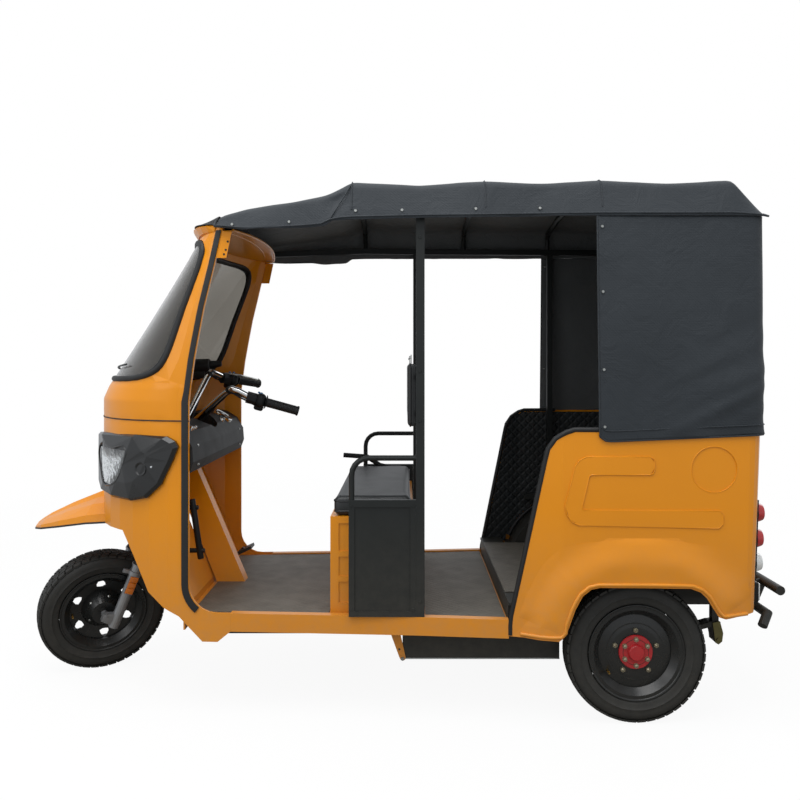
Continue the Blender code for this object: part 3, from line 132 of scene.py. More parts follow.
# %% Soft boxes
def soft_box(name, place, aim, size, power):
    lamp = bpy.data.lights.new(name, "AREA")
    lamp.shape = "RECTANGLE"
    lamp.size, lamp.size_y = size
    lamp.energy = power
    obj = bpy.data.objects.new(name, lamp)
    obj.location = place
    obj.rotation_euler = (Vector(aim) - Vector(place)).to_track_quat("-Z", "Y").to_euler()
    bpy.context.scene.collection.objects.link(obj)

soft_box("box_above", (-0.4, -1.6, 4.6), (0.1, 0.0, 0.9), (4.5, 3.0), 145)
soft_box("box_front", (-3.4, -3.4, 2.6), (-0.2, 0.0, 0.8), (2.4, 2.2), 32)
soft_box("box_behind", (3.6, 2.6, 3.2), (0.3, 0.0, 1.0), (2.4, 2.4), 35)

# %% Floor
FLOOR_R, FADE_FROM, FADE_TO = 9.0, 2.2, 6.0
FLOOR_GLOW = 0.93
bm = bmesh.new()
bmesh.ops.create_circle(bm, cap_ends=True, radius=FLOOR_R, segments=64)
mesh = bpy.data.meshes.new("floor")
bm.to_mesh(mesh)
bm.free()
ground = bpy.data.objects.new("floor", mesh)
bpy.context.scene.collection.objects.link(ground)
pale = bpy.data.materials.new("pale_floor")
pale.use_nodes = True
tree = pale.node_tree
tree.nodes.clear()
where = add(tree, "TexCoord")
far = add(tree, "VectorMath", {0: where.outputs["Object"]}, operation="LENGTH")
fade = add(tree, "MapRange", {"Value": far.outputs["Value"], "From Min": FADE_FROM,
                             "From Max": FADE_TO})
ray = add(tree, "LightPath")
shade = add_blend(tree, ray.outputs["Is Camera Ray"], paint("#8D8A84"), paint("#F4F4F3"))
cover = add(tree, "BsdfDiffuse", {"Color": shade})
glow = add(tree, "Emission", {"Color": paint("#FFFFFF"), "Strength": 1.0})
seen_only = add(tree, "Math", {0: ray.outputs["Is Camera Ray"], 1: FLOOR_GLOW},
                operation="MULTIPLY")
lit = add(tree, "MixShader", {0: seen_only.outputs[0], 1: cover.outputs[0], 2: glow.outputs[0]})
open_air = add(tree, "BsdfTransparent")
mix = add(tree, "MixShader", {0: fade.outputs["Result"], 1: lit.outputs[0],
                              2: open_air.outputs[0]})
add(tree, "OutputMaterial", {"Surface": mix.outputs[0]})
mesh.materials.append(pale)
bpy.context.scene.view_settings.view_transform = "Standard"

# %% [markdown]
# ## Finishes
# Most surfaces differ in the same few ways: two close shades in soft blotches, a gloss that
# isn't even, a fine grain, and dust that gathers low down. One recipe with those dials
# makes most finishes; what a finish has beyond that is added after it.

# %% A recipe for painted, moulded and cast surfaces
def finish(name, light_code, dark_code, blotch_mm=120, gloss=(0.35, 0.45), grain_mm=0.0,
           grain_depth_mm=0.0, dust=0.0, grain="noise", **sockets):
    material = bpy.data.materials.new(name)
    material.use_nodes = True
    tree = material.node_tree
    shader = tree.nodes["Principled BSDF"]
    for socket, value in sockets.items():
        label = socket.replace("_", " ").title().replace("Ior", "IOR")
        shader.inputs[label].default_value = value
    where = add(tree, "TexCoord")
    blotch = add(tree, "TexNoise", {"Vector": where.outputs["Object"],
                                    "Scale": 1000 / blotch_mm, "Detail": 4.0})
    result = add_blend(tree, blotch.outputs[0], paint(light_code), paint(dark_code))
    if dust:
        height = add(tree, "SeparateXYZ", {0: where.outputs["Object"]})
        low = add(tree, "MapRange", {"Value": height.outputs["Z"], "From Min": 0.75,
                                     "From Max": 0.10, "To Min": 0.0, "To Max": dust})
        speckle = add(tree, "TexNoise", {"Vector": where.outputs["Object"], "Scale": 28.0,
                                         "Detail": 8.0, "Roughness": 0.7})
        amount = add(tree, "Math", {0: low.outputs["Result"], 1: speckle.outputs[0]},
                     operation="MULTIPLY")
        result = add_blend(tree, amount.outputs[0], result, paint("#8C8375"))
    tree.links.new(result, shader.inputs["Base Color"])
    sheen = add(tree, "MapRange", {"Value": blotch.outputs[0], "To Min": gloss[0],
                                   "To Max": gloss[1]})
    tree.links.new(sheen.outputs["Result"], shader.inputs["Roughness"])
    if grain_mm:
        if grain == "noise":
            height = add(tree, "TexNoise", {"Vector": where.outputs["Object"],
                                            "Scale": 1000 / grain_mm, "Detail": 2.0})
        else:
            height = add(tree, "TexVoronoi", {"Vector": where.outputs["Object"],
                                              "Scale": 1000 / grain_mm})
        bump = add(tree, "Bump", {"Height": height.outputs[0], "Strength": 1.0,
                                  "Distance": grain_depth_mm / 1000})
        tree.links.new(bump.outputs["Normal"], shader.inputs["Normal"])
    return material

# %% [markdown]
# Enamel on pressed steel: a stoved coat of yellow-orange paint. The eye sees a soft, wide
# highlight with the faintest ripple of the spray gun in it, and road dust near the sills.

# %% Enamels and metals
ENAMEL = finish("stoved_orange_enamel", "#E59006", "#DC8804", 260, (0.28, 0.36), 6.0, 0.05,
                dust=0.55, coat_weight=0.15, coat_roughness=0.14,
                specular_ior_level=0.3)
FRAME = finish("satin_black_enamel", "#212424", "#191C1B", 90, (0.36, 0.48), 2.2, 0.05,
               dust=0.25, specular_ior_level=0.3)
RIM = finish("semi_gloss_black_wheel_enamel", "#12171A", "#0C1012", 60, (0.22, 0.34), 2.0, 0.05,
             dust=0.10)
FORK = finish("silver_grey_fork_enamel", "#A2A5A9", "#8B8F94", 60, (0.28, 0.40), 1.5, 0.03,
              dust=0.5, metallic=0.6)
AXLE = finish("grey_painted_cast_iron", "#5A5D5E", "#47494A", 40, (0.45, 0.62), 1.6, 0.25,
              dust=0.7, metallic=0.2)
CHROME = finish("polished_chrome_plate", "#DADCDD", "#CFD1D2", 50, (0.07, 0.13), metallic=1.0)
ZINC = finish("zinc_plated_steel", "#B4B6B4", "#9A9C98", 14, (0.28, 0.42), metallic=1.0)
NUTS = finish("dulled_bright_zinc", "#B5AC94", "#8F8771", 10, (0.30, 0.46), metallic=0.85)
BRASS = finish("drawn_brass", "#C6A25A", "#A98545", 12, (0.25, 0.38), metallic=1.0)
ABS = finish("grained_black_abs", "#17191A", "#111314", 80, (0.50, 0.64), 1.1, 0.08,
             specular_ior_level=0.3)
GLOSS_ABS = finish("polished_black_abs", "#0F1112", "#0B0C0D", 80, (0.20, 0.32),
                   coat_weight=0.3, coat_roughness=0.06)
RUBBER = finish("extruded_black_rubber", "#161718", "#101112", 40, (0.50, 0.68), 1.5, 0.06)
HUB_RED = finish("red_painted_hub_cap", "#B9282C", "#A11D22", 25, (0.26, 0.36), 1.6, 0.04,
                 coat_weight=0.3, coat_roughness=0.1)
print("finishes", len(bpy.data.materials))

# %% [markdown]
# Coated canvas: woven cotton with a slate coating, matt and slightly lighter where it is
# stretched. Two crossed wave textures make the weave. Real threads are about 0.5 mm apart,
# which wouldn't show here, so the weave is drawn at 3 mm.

# %% Woven canvas
THREAD_MM = 3.0

def canvas(name, light_code, dark_code):
    material = finish(name, light_code, dark_code, 220, (0.66, 0.80), sheen_weight=0.10,
                      sheen_roughness=0.5)
    tree = material.node_tree
    where = add(tree, "TexCoord")
    threads = [add(tree, "TexWave", {"Vector": where.outputs["Object"], "Distortion": 0.6,
                                     "Scale": 1000 / THREAD_MM / 6.28}, bands_direction=way)
               for way in ("DIAGONAL", "Z")]
    weave = add(tree, "Math", {0: threads[0].outputs[1], 1: threads[1].outputs[1]},
                operation="ADD")
    creases = add(tree, "TexNoise", {"Vector": where.outputs["Object"], "Scale": 9.0,
                                     "Detail": 6.0, "Roughness": 0.62, "Distortion": 0.9})
    fine = add(tree, "Bump", {"Height": weave.outputs[0], "Strength": 0.35, "Distance": 0.0004})
    deep = add(tree, "Bump", {"Height": creases.outputs[0], "Strength": 0.5, "Distance": 0.012,
                              "Normal": fine.outputs["Normal"]})
    tree.links.new(deep.outputs["Normal"], tree.nodes["Principled BSDF"].inputs["Normal"])
    return material

CANVAS = canvas("slate_coated_canvas", "#20272D", "#192026")
# The roof's liner is black; its mid-grey colour is painted light for the light that reaches the
# roof's underside.
LINER = canvas("black_liner_painted_light_grey", "#5A5D5E", "#4C4F50")

# %% [markdown]
# Vinyl: a sheet of soft plastic with a leather grain pressed in. The grain is a cell
# pattern of about 3 mm with narrow valleys, and the sheet has a low even gloss.

# %% Grained vinyl
VINYL = finish("grained_black_vinyl", "#2B2D2E", "#232526", 90, (0.40, 0.50), 3.2, 0.35,
               grain="cells", specular_ior_level=0.45)
PIPING = finish("vinyl_piping", "#1B1D1E", "#151617", 50, (0.38, 0.46), 2.0, 0.1)

# %% [markdown]
# Quilted lining and rubber matting share a lattice of diamonds. On the lining the lines are
# stitched in and the cells puff out; on the mat they are raised ribs. Both come from the
# same two sets of slanted stripes.

# %% A lattice of diamonds
def lattice(name, light_code, dark_code, pitch_mm, across, along, depth_mm, raised, gloss):
    material = finish(name, light_code, dark_code, 70, gloss, dust=0.5 if raised else 0.0)
    tree = material.node_tree
    where = add(tree, "TexCoord")
    parts = add(tree, "SeparateXYZ", {0: where.outputs["Object"]})
    lines = []
    for sign in (1.0, -1.0):
        slant = add(tree, "Math", {0: parts.outputs[across], 1: sign},
                    operation="MULTIPLY")
        total = add(tree, "Math", {0: slant.outputs[0], 1: parts.outputs[along]},
                    operation="ADD")
        turns = add(tree, "Math", {0: total.outputs[0], 1: 1000 / pitch_mm},
                    operation="MULTIPLY")
        wave = add(tree, "Math", {0: turns.outputs[0], 1: 0.5}, operation="PINGPONG")
        lines.append(wave)
    nearest = add(tree, "Math", {0: lines[0].outputs[0], 1: lines[1].outputs[0]},
                  operation="MINIMUM")
    rise = add(tree, "MapRange", {"Value": nearest.outputs[0], "From Min": 0.0,
                                  "From Max": 0.10 if raised else 0.30,
                                  "To Min": 1.0 if raised else 0.0,
                                  "To Max": 0.0 if raised else 1.0},
               interpolation_type="SMOOTHSTEP")
    bump = add(tree, "Bump", {"Height": rise.outputs[0], "Strength": 1.0,
                              "Distance": depth_mm / 1000})
    tree.links.new(bump.outputs["Normal"], tree.nodes["Principled BSDF"].inputs["Normal"])
    return material

QUILT = lattice("quilted_black_lining", "#262A2B", "#1E2122", 42, "X", "Z", 2.2, False,
                (0.50, 0.60))
MAT = lattice("ribbed_rubber_mat", "#6A655B", "#36342F", 30, "X", "Y", 1.2, True, (0.50, 0.66))

# %% [markdown]
# Glass and lamp lenses are clear: light goes through them. The lenses' colour is near white and
# the tint slight; the windscreen's grey-brown colour is partly its real tint and partly painted
# reflection of darker surroundings. Tyre rubber is matt with a bloom of dust on the tread.

# %% Clear and coloured lenses, tyre rubber
# The windscreen's grey-brown is partly the glass's tint and partly a painted reflection of darker
# surroundings.
GLASS = finish("tinted_glass_and_painted_reflection", "#85817A", "#67645E", 260, (0.02, 0.05),
               transmission_weight=0.93, sheen_weight=0.6, sheen_roughness=0.35)
LENS = finish("clear_polycarbonate_lens", "#F5F7F8", "#F0F3F5", 60, (0.03, 0.06),
              transmission_weight=0.92)
MIRROR = finish("vapour_coated_reflector", "#E4E6E8", "#D5D8DA", 20, (0.08, 0.16), 9.0, 1.2,
                metallic=1.0)
RED_LENS = finish("red_acrylic_lens", "#C21D1F", "#A5161A", 20, (0.10, 0.18), 4.0, 0.5,
                  coat_weight=0.5, coat_roughness=0.04)
AMBER_LENS = finish("amber_acrylic_lens", "#E8821A", "#D06C10", 20, (0.10, 0.18), 4.0, 0.5,
                    coat_weight=0.5, coat_roughness=0.04)
WHITE_LENS = finish("white_acrylic_lens", "#E6E8E6", "#D8DBD9", 20, (0.10, 0.18), 4.0, 0.5,
                    coat_weight=0.5, coat_roughness=0.04)
TYRE = finish("tyre_rubber", "#1A1D1D", "#121414", 45, (0.58, 0.76), 2.4, 0.25, dust=0.16)

# %% Each node of the solid model takes its finish
FINISH_OF = {
    "body_paint": ENAMEL, "frame_black": FRAME, "black_plastic": ABS, "rubber": TYRE,
    "rim_black": RIM, "canopy_fabric": CANVAS, "seat_vinyl": VINYL, "glass": GLASS,
    "fork_grey": FORK, "lamp_red": ABS, "axle_grey": AXLE,
}
SIDES = ((-1, "left"), (1, "right"))
EXCEPT = {f"headlamp_{part}_{label}": material for _, label in SIDES
          for part, material in (("lens", LENS), ("pod", GLOSS_ABS))}
for part in frame["record"]["subparts"]:
    node = nodes[part["node"]]
    node.data.materials.clear()
    node.data.materials.append(EXCEPT.get(part["node"], FINISH_OF[part["material_slot"]]))
print("dressed", len(nodes), "nodes")

# %% [markdown]
# ## Making a piece
# A new piece is modelled in place, so its object stays at the origin. Most need the same
# last steps: join doubled corners, turn the faces outwards, shade smooth with sharp edges
# kept, and ride on the body that carries it.

# %% From a bmesh to a piece
def piece(name, bm, material, body="body", crease=38, outward=True):
    bmesh.ops.remove_doubles(bm, verts=bm.verts, dist=1e-6)
    if outward:
        bmesh.ops.recalc_face_normals(bm, faces=bm.faces)
    mesh = bpy.data.meshes.new(name)
    bm.to_mesh(mesh)
    bm.free()
    mesh.materials.append(material)
    mesh.shade_smooth()
    mesh.set_sharp_from_angle(angle=radians(crease))
    obj = bpy.data.objects.new(name, mesh)
    bpy.context.scene.collection.objects.link(obj)
    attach(obj, body)
    print(name, len(mesh.polygons), "faces, rides on", body)
    return obj

# %% Round some edges of a shape. A plain set of edges has no fixed order, so a dict keeps one
def once_each(items):
    return list(dict.fromkeys(items))

def round_edges(bm, made, edges, rounding, segments):
    """Bevel edges of a shape and give back all its corners."""
    new = bmesh.ops.bevel(bm, geom=edges, offset=rounding, segments=segments, profile=0.5,
                          affect="EDGES", material=-1)
    return once_each([vert for face in new["faces"] for vert in face.verts]
                     + [vert for vert in made if vert.is_valid])

# %% Blocks and round bars, as shapes that other shapes are added to
def add_block(bm, low, high, rounding=0.0, segments=2, place=Matrix()):
    """A box between two corners, with rounded edges."""
    low, high = Vector(low), Vector(high)
    made = bmesh.ops.create_cube(bm, size=1.0)["verts"]
    for vert in made:
        vert.co = (low + high) / 2 + Vector([c * s for c, s in zip(vert.co, high - low)])
    if rounding:
        edges = once_each(edge for vert in made for edge in vert.link_edges)
        made = round_edges(bm, made, edges, rounding, segments)
    bmesh.ops.transform(bm, matrix=place, verts=made)
    return made

def add_bar(bm, start, end, radius, end_radius=None, sides=20, rounding=0.0):
    """A round bar or cone between two points, with its end edges rounded."""
    start, end = Vector(start), Vector(end)
    turn = (end - start).to_track_quat("Z", "Y").to_matrix().to_4x4()
    made = bmesh.ops.create_cone(bm, cap_ends=True, segments=sides, radius1=radius,
                                 radius2=radius if end_radius is None else end_radius,
                                 depth=(end - start).length)["verts"]
    if rounding:
        rims = [edge for edge in once_each(e for v in made for e in v.link_edges)
                if abs(edge.verts[0].co.z - edge.verts[1].co.z) < 1e-7]
        made = round_edges(bm, made, rims, rounding, 2)
    bmesh.ops.transform(bm, matrix=Matrix.Translation((start + end) / 2) @ turn, verts=made)
    return made

def add_turned(bm, profile, place=Matrix(), steps=64, closed=True):
    """Turn a line of (axial, radius) points about the Y axis, as on a lathe."""
    verts = [bm.verts.new((radius, axial, 0.0)) for axial, radius in profile]
    edges = [bm.edges.new(pair) for pair in zip(verts, verts[1:])]
    if closed:
        edges.append(bm.edges.new((verts[-1], verts[0])))
    made = bmesh.ops.spin(bm, geom=verts + edges, cent=(0, 0, 0), axis=(0, 1, 0),
                          angle=2 * pi, steps=steps, use_merge=True, use_duplicate=False)
    grow = set(verts) | {item for item in made["geom_last"]
                         if isinstance(item, bmesh.types.BMVert)}
    while True:
        more = {edge.other_vert(vert) for vert in grow if vert.is_valid
                for edge in vert.link_edges} - grow
        if not more:
            break
        grow |= more
    grow = [vert for vert in grow if vert.is_valid]
    bmesh.ops.transform(bm, matrix=place, verts=grow)
    return grow

# %% [markdown]
# Tubes, cables, seals and piping all follow a line. A curve with a round bevel draws them
# in a few points, and it is then turned into a mesh so that it can be shaped further.

# %% A bar that follows a line
def add_run(bm, points, radius, closed=False, smooth=True, sides=3):
    """A tube along points."""
    curve = bpy.data.curves.new("run", "CURVE")
    curve.dimensions = "3D"
    curve.bevel_depth = radius
    curve.bevel_resolution = sides
    curve.use_fill_caps = not closed
    curve.resolution_u = 6
    spline = curve.splines.new("BEZIER" if smooth else "POLY")
    if smooth:
        spline.bezier_points.add(len(points) - 1)
        for knot, point in zip(spline.bezier_points, points):
            knot.co = point
            knot.handle_left_type = knot.handle_right_type = "AUTO"
    else:
        spline.points.add(len(points) - 1)
        for knot, point in zip(spline.points, points):
            knot.co = (*point, 1.0)
    spline.use_cyclic_u = closed
    obj = bpy.data.objects.new("run", curve)
    bpy.context.scene.collection.objects.link(obj)
    bpy.context.view_layer.update()
    mesh = bpy.data.meshes.new_from_object(obj)
    before = set(bm.verts)
    bm.from_mesh(mesh)
    made = [vert for vert in bm.verts if vert not in before]
    bpy.data.objects.remove(obj)
    bpy.data.curves.remove(curve)
    bpy.data.meshes.remove(mesh)
    return made

# %% A skin through rings, a flat strip along an edge, and a cut-out plate
def add_loft(bm, rings):
    rows = [[bm.verts.new(point) for point in ring] for ring in rings]
    for row, after in zip(rows, rows[1:]):
        for i in range(len(row)):
            j = (i + 1) % len(row)
            bm.faces.new((row[i], row[j], after[j], after[i]))
    bm.faces.new(rows[0])
    bm.faces.new(rows[-1])

def add_band(bm, rows, thick):
    """A flat strip with a crowned face along rows of (one edge, other edge, outwards)."""
    add_loft(bm, [[one - out * 0.0004, one + out * thick * 0.75, (one + other) / 2 + out * thick,
                   other + out * thick * 0.75, other - out * 0.0004]
                  for one, other, out in rows])

def push(bm, faces, shift):
    """Give faces a thickness by pushing a copy of them along a vector."""
    made = bmesh.ops.extrude_face_region(bm, geom=faces)
    moved = [item for item in made["geom"] if isinstance(item, bmesh.types.BMVert)]
    bmesh.ops.translate(bm, vec=shift, verts=moved)

def add_plate(bm, outline, y, thick):
    """A plate with an outline in X and Z that fills y to y + thick."""
    push(bm, [bm.faces.new([bm.verts.new((x, y, z)) for x, z in outline])], (0, thick, 0))

def turned_to(start, towards):
    """Placement that lays the lathe's Y axis from one point towards another."""
    way = Vector(towards) - Vector(start)
    return Matrix.Translation(start) @ way.to_track_quat("Y", "Z").to_matrix().to_4x4()

# %% [markdown]
# ## Padding
# The seats are foam in vinyl. A block with rounded edges looks hard, so each pad is blown
# up a little as cloth under pressure: the sides belly out and the corners stay tight. The
# block is first shrunk, because the cloth swells, and no point may move further than a cap.

# %% Blow up a pad
PRESSURE, LAST_FRAME = 4.0, 20

def pad(name, node, shrink, cap, voxel, body="body"):
    source = nodes[node]
    low, high = (Vector(corner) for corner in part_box(node))
    middle = (low + high) / 2
    scale = Vector([max(1 - 2 * shrink / side, 0.3) for side in high - low])
    bm = bmesh.new()
    bm.from_mesh(source.data)
    bmesh.ops.remove_doubles(bm, verts=bm.verts, dist=1e-5)
    for vert in bm.verts:
        offset = vert.co - middle
        vert.co = middle + Vector([a * b for a, b in zip(offset, scale)])
    obj = piece(name, bm, VINYL, body)
    remesh = obj.modifiers.new("remesh", "REMESH")
    remesh.mode = "VOXEL"
    remesh.voxel_size = voxel
    bake(obj)
    start = [vert.co.copy() for vert in obj.data.vertices]
    cloth = obj.modifiers.new("cloth", "CLOTH")
    cloth.settings.use_pressure = True
    cloth.settings.uniform_pressure_force = PRESSURE
    cloth.settings.effector_weights.gravity = 0.0
    cloth.settings.quality = 4
    cloth.collision_settings.use_collision = False
    cloth.point_cache.frame_start = 1
    cloth.point_cache.frame_end = LAST_FRAME
    for moment in range(1, LAST_FRAME + 1):
        bpy.context.scene.frame_set(moment)
    bake(obj)
    bpy.context.scene.frame_set(1)
    for vert, rest in zip(obj.data.vertices, start):
        move = vert.co - rest
        if move.length > cap:
            vert.co = rest + move.normalized() * cap
        vert.co = Vector([min(max(c, a), b) for c, a, b in zip(vert.co, low, high)])
    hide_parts(node)
    return obj

def bake(obj):
    """Turn the object's modifiers into its mesh."""
    bpy.context.view_layer.update()
    mesh = bpy.data.meshes.new_from_object(obj.evaluated_get(
        bpy.context.evaluated_depsgraph_get()))
    obj.modifiers.clear()
    materials = list(obj.data.materials)
    obj.data = mesh
    if not mesh.materials:
        for material in materials:
            mesh.materials.append(material)
    mesh.shade_smooth()

# %% Driver's seat and the bench
PADS = (
    ("driver_seat_pad", "driver_cushion", 0.002, 0.012, 0.008),
    ("driver_back_pad", "driver_backrest", 0.002, 0.006, 0.007),
    ("bench_seat_pad", "bench_cushion", 0.003, 0.012, 0.009),
    ("bench_back_pad", "bench_backrest", 0.003, 0.012, 0.010),
)
pads = {}
for name, node, shrink, cap, voxel in PADS:
    pads[node] = pad(name, node, shrink, cap, voxel)
    print(name, len(pads[node].data.vertices), "points")

# %% Piping round each pad's face, in the seam where two panels of vinyl meet
def outline_run(low, high, axis, at, rounding, steps=6):
    """Points round a rectangle with rounded corners, across the given axis."""
    first, second = [i for i in range(3) if i != axis]
    points = []
    for sx, sy, start in ((1, 1, 0), (-1, 1, 90), (-1, -1, 180), (1, -1, 270)):
        cx = (high[first] - rounding) if sx > 0 else (low[first] + rounding)
        cy = (high[second] - rounding) if sy > 0 else (low[second] + rounding)
        for step in range(steps + 1):
            angle = radians(start + 90 * step / steps)
            point = [0.0, 0.0, 0.0]
            point[axis] = at
            point[first] = cx + rounding * cos(angle)
            point[second] = cy + rounding * sin(angle)
            points.append(Vector(point))
    return points

bm = bmesh.new()
for node, axis, share, rounding, inset in (
        ("driver_cushion", 2, 0.80, 0.03, 0.001), ("driver_cushion", 2, 0.16, 0.03, 0.001),
        ("bench_cushion", 2, 0.80, 0.03, 0.001), ("bench_backrest", 0, 0.22, 0.04, 0.002),
        ("driver_backrest", 0, 0.30, 0.03, 0.001)):
    low, high = (Vector(corner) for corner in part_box(node))
    at = low[axis] + share * (high[axis] - low[axis])
    grow = Vector((inset, inset, inset))
    loop = outline_run(low + grow, high - grow, axis, at, rounding)
    line = []
    for one, other in zip(loop, loop[1:] + loop[:1]):
        count = max(1, round((other - one).length / 0.02))
        line += [one.lerp(other, step / count) for step in range(count)]
    for point in line:
        hit, place, _, _ = pads[node].closest_point_on_mesh(point)
        point.xyz = place if hit else point
    add_run(bm, line, 0.0035, closed=True, smooth=False, sides=2)
piece("seat_piping", bm, PIPING)

# %% [markdown]
# ## Fabric roof
# The roof is one sheet stretched over hoops, with press studs at the sides. It hangs a
# little between the hoops, and pulls in folds towards the corners of the front slope. A
# cloth simulation of so tight a sheet shows little, so a grid is laid on the hoops' heights
# and the sag and the folds are worked in. The hem is a doubled edge.

# %% Lay a grid over the hoops
HOOPS = (
    (-0.612, 0.470, 1.745, 0.450, 1.760, 1.796),
    (-0.590, 0.474, 1.742, 0.452, 1.778, 1.812),
    (-0.500, 0.487, 1.729, 0.463, 1.797, 1.834),
    (-0.300, 0.500, 1.733, 0.480, 1.828, 1.866),
    (-0.210, 0.508, 1.739, 0.487, 1.843, 1.882),
    (-0.188, 0.510, 1.757, 0.489, 1.851, 1.892),
    (-0.118, 0.515, 1.759, 0.492, 1.885, 1.925),
    (0.118, 0.533, 1.762, 0.505, 1.876, 1.917),
    (0.349, 0.540, 1.763, 0.513, 1.885, 1.925),
    (0.552, 0.548, 1.765, 0.520, 1.878, 1.918),
    (0.751, 0.555, 1.766, 0.525, 1.885, 1.925),
    (0.985, 0.558, 1.766, 0.527, 1.877, 1.918),
    (1.213, 0.558, 1.766, 0.527, 1.885, 1.925),
    (1.295, 0.558, 1.766, 0.520, 1.800, 1.812),
    (1.322, 0.556, 1.762, 0.515, 1.774, 1.778),
)
HOOP_X = (-0.118, 0.349, 0.751, 1.200)

def between(table, x):
    """The row of a table at x, with straight lines between its rows."""
    for low, high in zip(table, table[1:]):
        if x <= high[0]:
            share = max(0.0, (x - low[0]) / (high[0] - low[0]))
            return [a + share * (b - a) for a, b in zip(low[1:], high[1:])]
    return list(table[-1][1:])

def roof_point(x, across):
    """A point of the roof; across runs from -1 at the left hem to 1 at the right one."""
    hem_y, hem_z, eave_y, eave_z, crown_z = between(HOOPS, x)
    rise = crown_z - eave_z
    line = ((0.0, 0.0, crown_z), (0.36, 0.22, eave_z + rise * 0.88),
            (0.62, eave_y - 0.12, eave_z + rise * 0.62),
            (0.76, eave_y - 0.020, eave_z + rise * 0.35), (0.80, eave_y, eave_z),
            (0.90, hem_y * 0.45 + eave_y * 0.55, hem_z * 0.45 + eave_z * 0.55),
            (1.0, hem_y, hem_z))
    y, z = between(line, abs(across))
    return Vector((x, y if across >= 0 else -y, z))

def roof_fold(x, across):
    """How far the cloth stands off the smooth roof, outwards: ripples and slack."""
    edge = max(0.0, (abs(across) - 0.78) / 0.22)
    near = min(abs(x - hoop) for hoop in HOOP_X)
    slack = 0.5 - 0.5 * cos(2 * pi * min(near, 0.2) / 0.4)
    side = 1.0 if across > 0 else -1.0
    wave = noise.noise(Vector((x * 5.5 + side * 9.0, across * 2.0, 3.0)))
    ripple = noise.noise(Vector((x * 17.0 + across * 6.0, across * 5.0 + side, 8.0)))
    pull = sin((x + 0.55) * 16.0 - abs(across) * 7.0) * max(0.0, 1 - abs(x + 0.38) / 0.26)
    flap = edge * slack * (0.009 * wave + 0.003 * ripple)
    top = (1 - edge) * (0.003 * wave * slack + 0.0012 * ripple)
    pocket = max(0.0, 1 - abs(x + 0.163) / 0.042) * max(0.0, 1 - abs(abs(across) - 0.85) / 0.10)
    flap -= 0.016 * pocket
    return flap + top + 0.0035 * pull * (0.3 + 0.7 * abs(across)) - 0.0025 * slack * (1 - edge)

# %% What every cloth shares: rounds of smoothing away from its edges, and a lined thickness
def relax(bm, rounds):
    for _ in range(rounds):
        bmesh.ops.smooth_vert(bm, verts=[v for v in bm.verts if not v.is_boundary], factor=0.5,
                              use_axis_x=True, use_axis_y=True, use_axis_z=True)

def line_cloth(cloth, thickness):
    solid = cloth.modifiers.new("thickness", "SOLIDIFY")
    solid.thickness = thickness
    solid.offset = -1.0
    solid.material_offset = 1
    cloth.data.materials.append(LINER)

# %% The roof cloth
bm = bmesh.new()
bmesh.ops.create_grid(bm, x_segments=190, y_segments=120, size=1.0)
front_x, back_x = HOOPS[0][0], HOOPS[-1][0]
for vert in bm.verts:
    x = front_x + (vert.co.x + 1) / 2 * (back_x - front_x)
    across = vert.co.y
    here = roof_point(x, across)
    ahead, beside = roof_point(x + 0.004, across), roof_point(x, across + 0.01)
    normal = (ahead - here).cross(beside - here)
    normal = normal.normalized() if normal.length else Vector((0, 0, 1))
    vert.co = here + normal * (roof_fold(x, across) - 0.0004)
relax(bm, 3)
bmesh.ops.recalc_face_normals(bm, faces=bm.faces)
if sum(face.normal.z for face in bm.faces) < 0:
    bmesh.ops.reverse_faces(bm, faces=bm.faces)
roof = piece("roof_cloth", bm, CANVAS, outward=False, crease=60)
line_cloth(roof, 0.0025)
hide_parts("canopy")

# %% Hem, seams over the hoops, and the press studs that hold the side flaps
bm = bmesh.new()
for side in (-1, 1):
    line = [roof_point(front_x + (back_x - front_x) * i / 60, side * 0.985) + Vector(
        (0, side * 0.0015, 0)) for i in range(61)]
    add_run(bm, line, 0.0030, smooth=False, sides=1)
for x in (front_x + 0.004, back_x - 0.002):
    add_run(bm, [roof_point(x, i / 20) + Vector((0, 0, 0.001)) for i in range(-20, 21)], 0.0032,
            smooth=False, sides=1)
for hoop in HOOP_X[:3]:
    line = [roof_point(hoop, i / 40) for i in range(-38, 39)]
    add_run(bm, [p + Vector((0, 0, 0.0006)) for p in line], 0.0022, smooth=False, sides=1)
for side in (-1, 1):
    line = [roof_point(-0.118 - 0.074 * i / 12, side * (0.79 + 0.19 * i / 12)) + Vector(
        (0, side * 0.0012, 0.0008)) for i in range(13)]
    add_run(bm, line, 0.0022, smooth=False, sides=1)
piece("roof_seams", bm, CANVAS, crease=80)

STUDS = ((228, 222.7), (287, 218.4), (355, 213.4), (402, 214), (476, 211.6), (540, 212.0))
bm = bmesh.new()
for px, py in STUDS:
    x, _ = seen(px, py, -0.54)
    for side in (-1, 1):
        place = roof_point(x, side * 0.955)
        out = Vector((0, side, 0.12)).normalized()
        add_bar(bm, place - out * 0.001, place + out * 0.0035, 0.0065, 0.0045, sides=14)
piece("roof_studs", bm, ZINC)

# %% [markdown]
# ## Rear curtain
# Behind the roof a curtain hangs round the tail from one side to the other and ends in a
# doubled hem just over the body's top edge. It is cut a little wide, so it falls in soft
# upright folds and drags towards its fasteners.

# %% Walk round the tail
SIDE_ROWS = ((0.990, 0.5855, 1.3045), (1.035, 0.5855, 1.305), (1.400, 0.566, 1.311),
             (1.7655, 0.549, 1.315))
CURTAIN_FRONT = 0.732

def hem_lift(x, y):
    """How far the curtain's lower edge has ridden up, and its rounded front corners."""
    back = min(1.0, max(0.0, (x - 0.78) / 0.50))
    corner = max(0.0, 1 - (x - CURTAIN_FRONT) / 0.030) if abs(y) > 0.5 else 0.0
    return 0.022 * back + 0.016 * corner ** 2

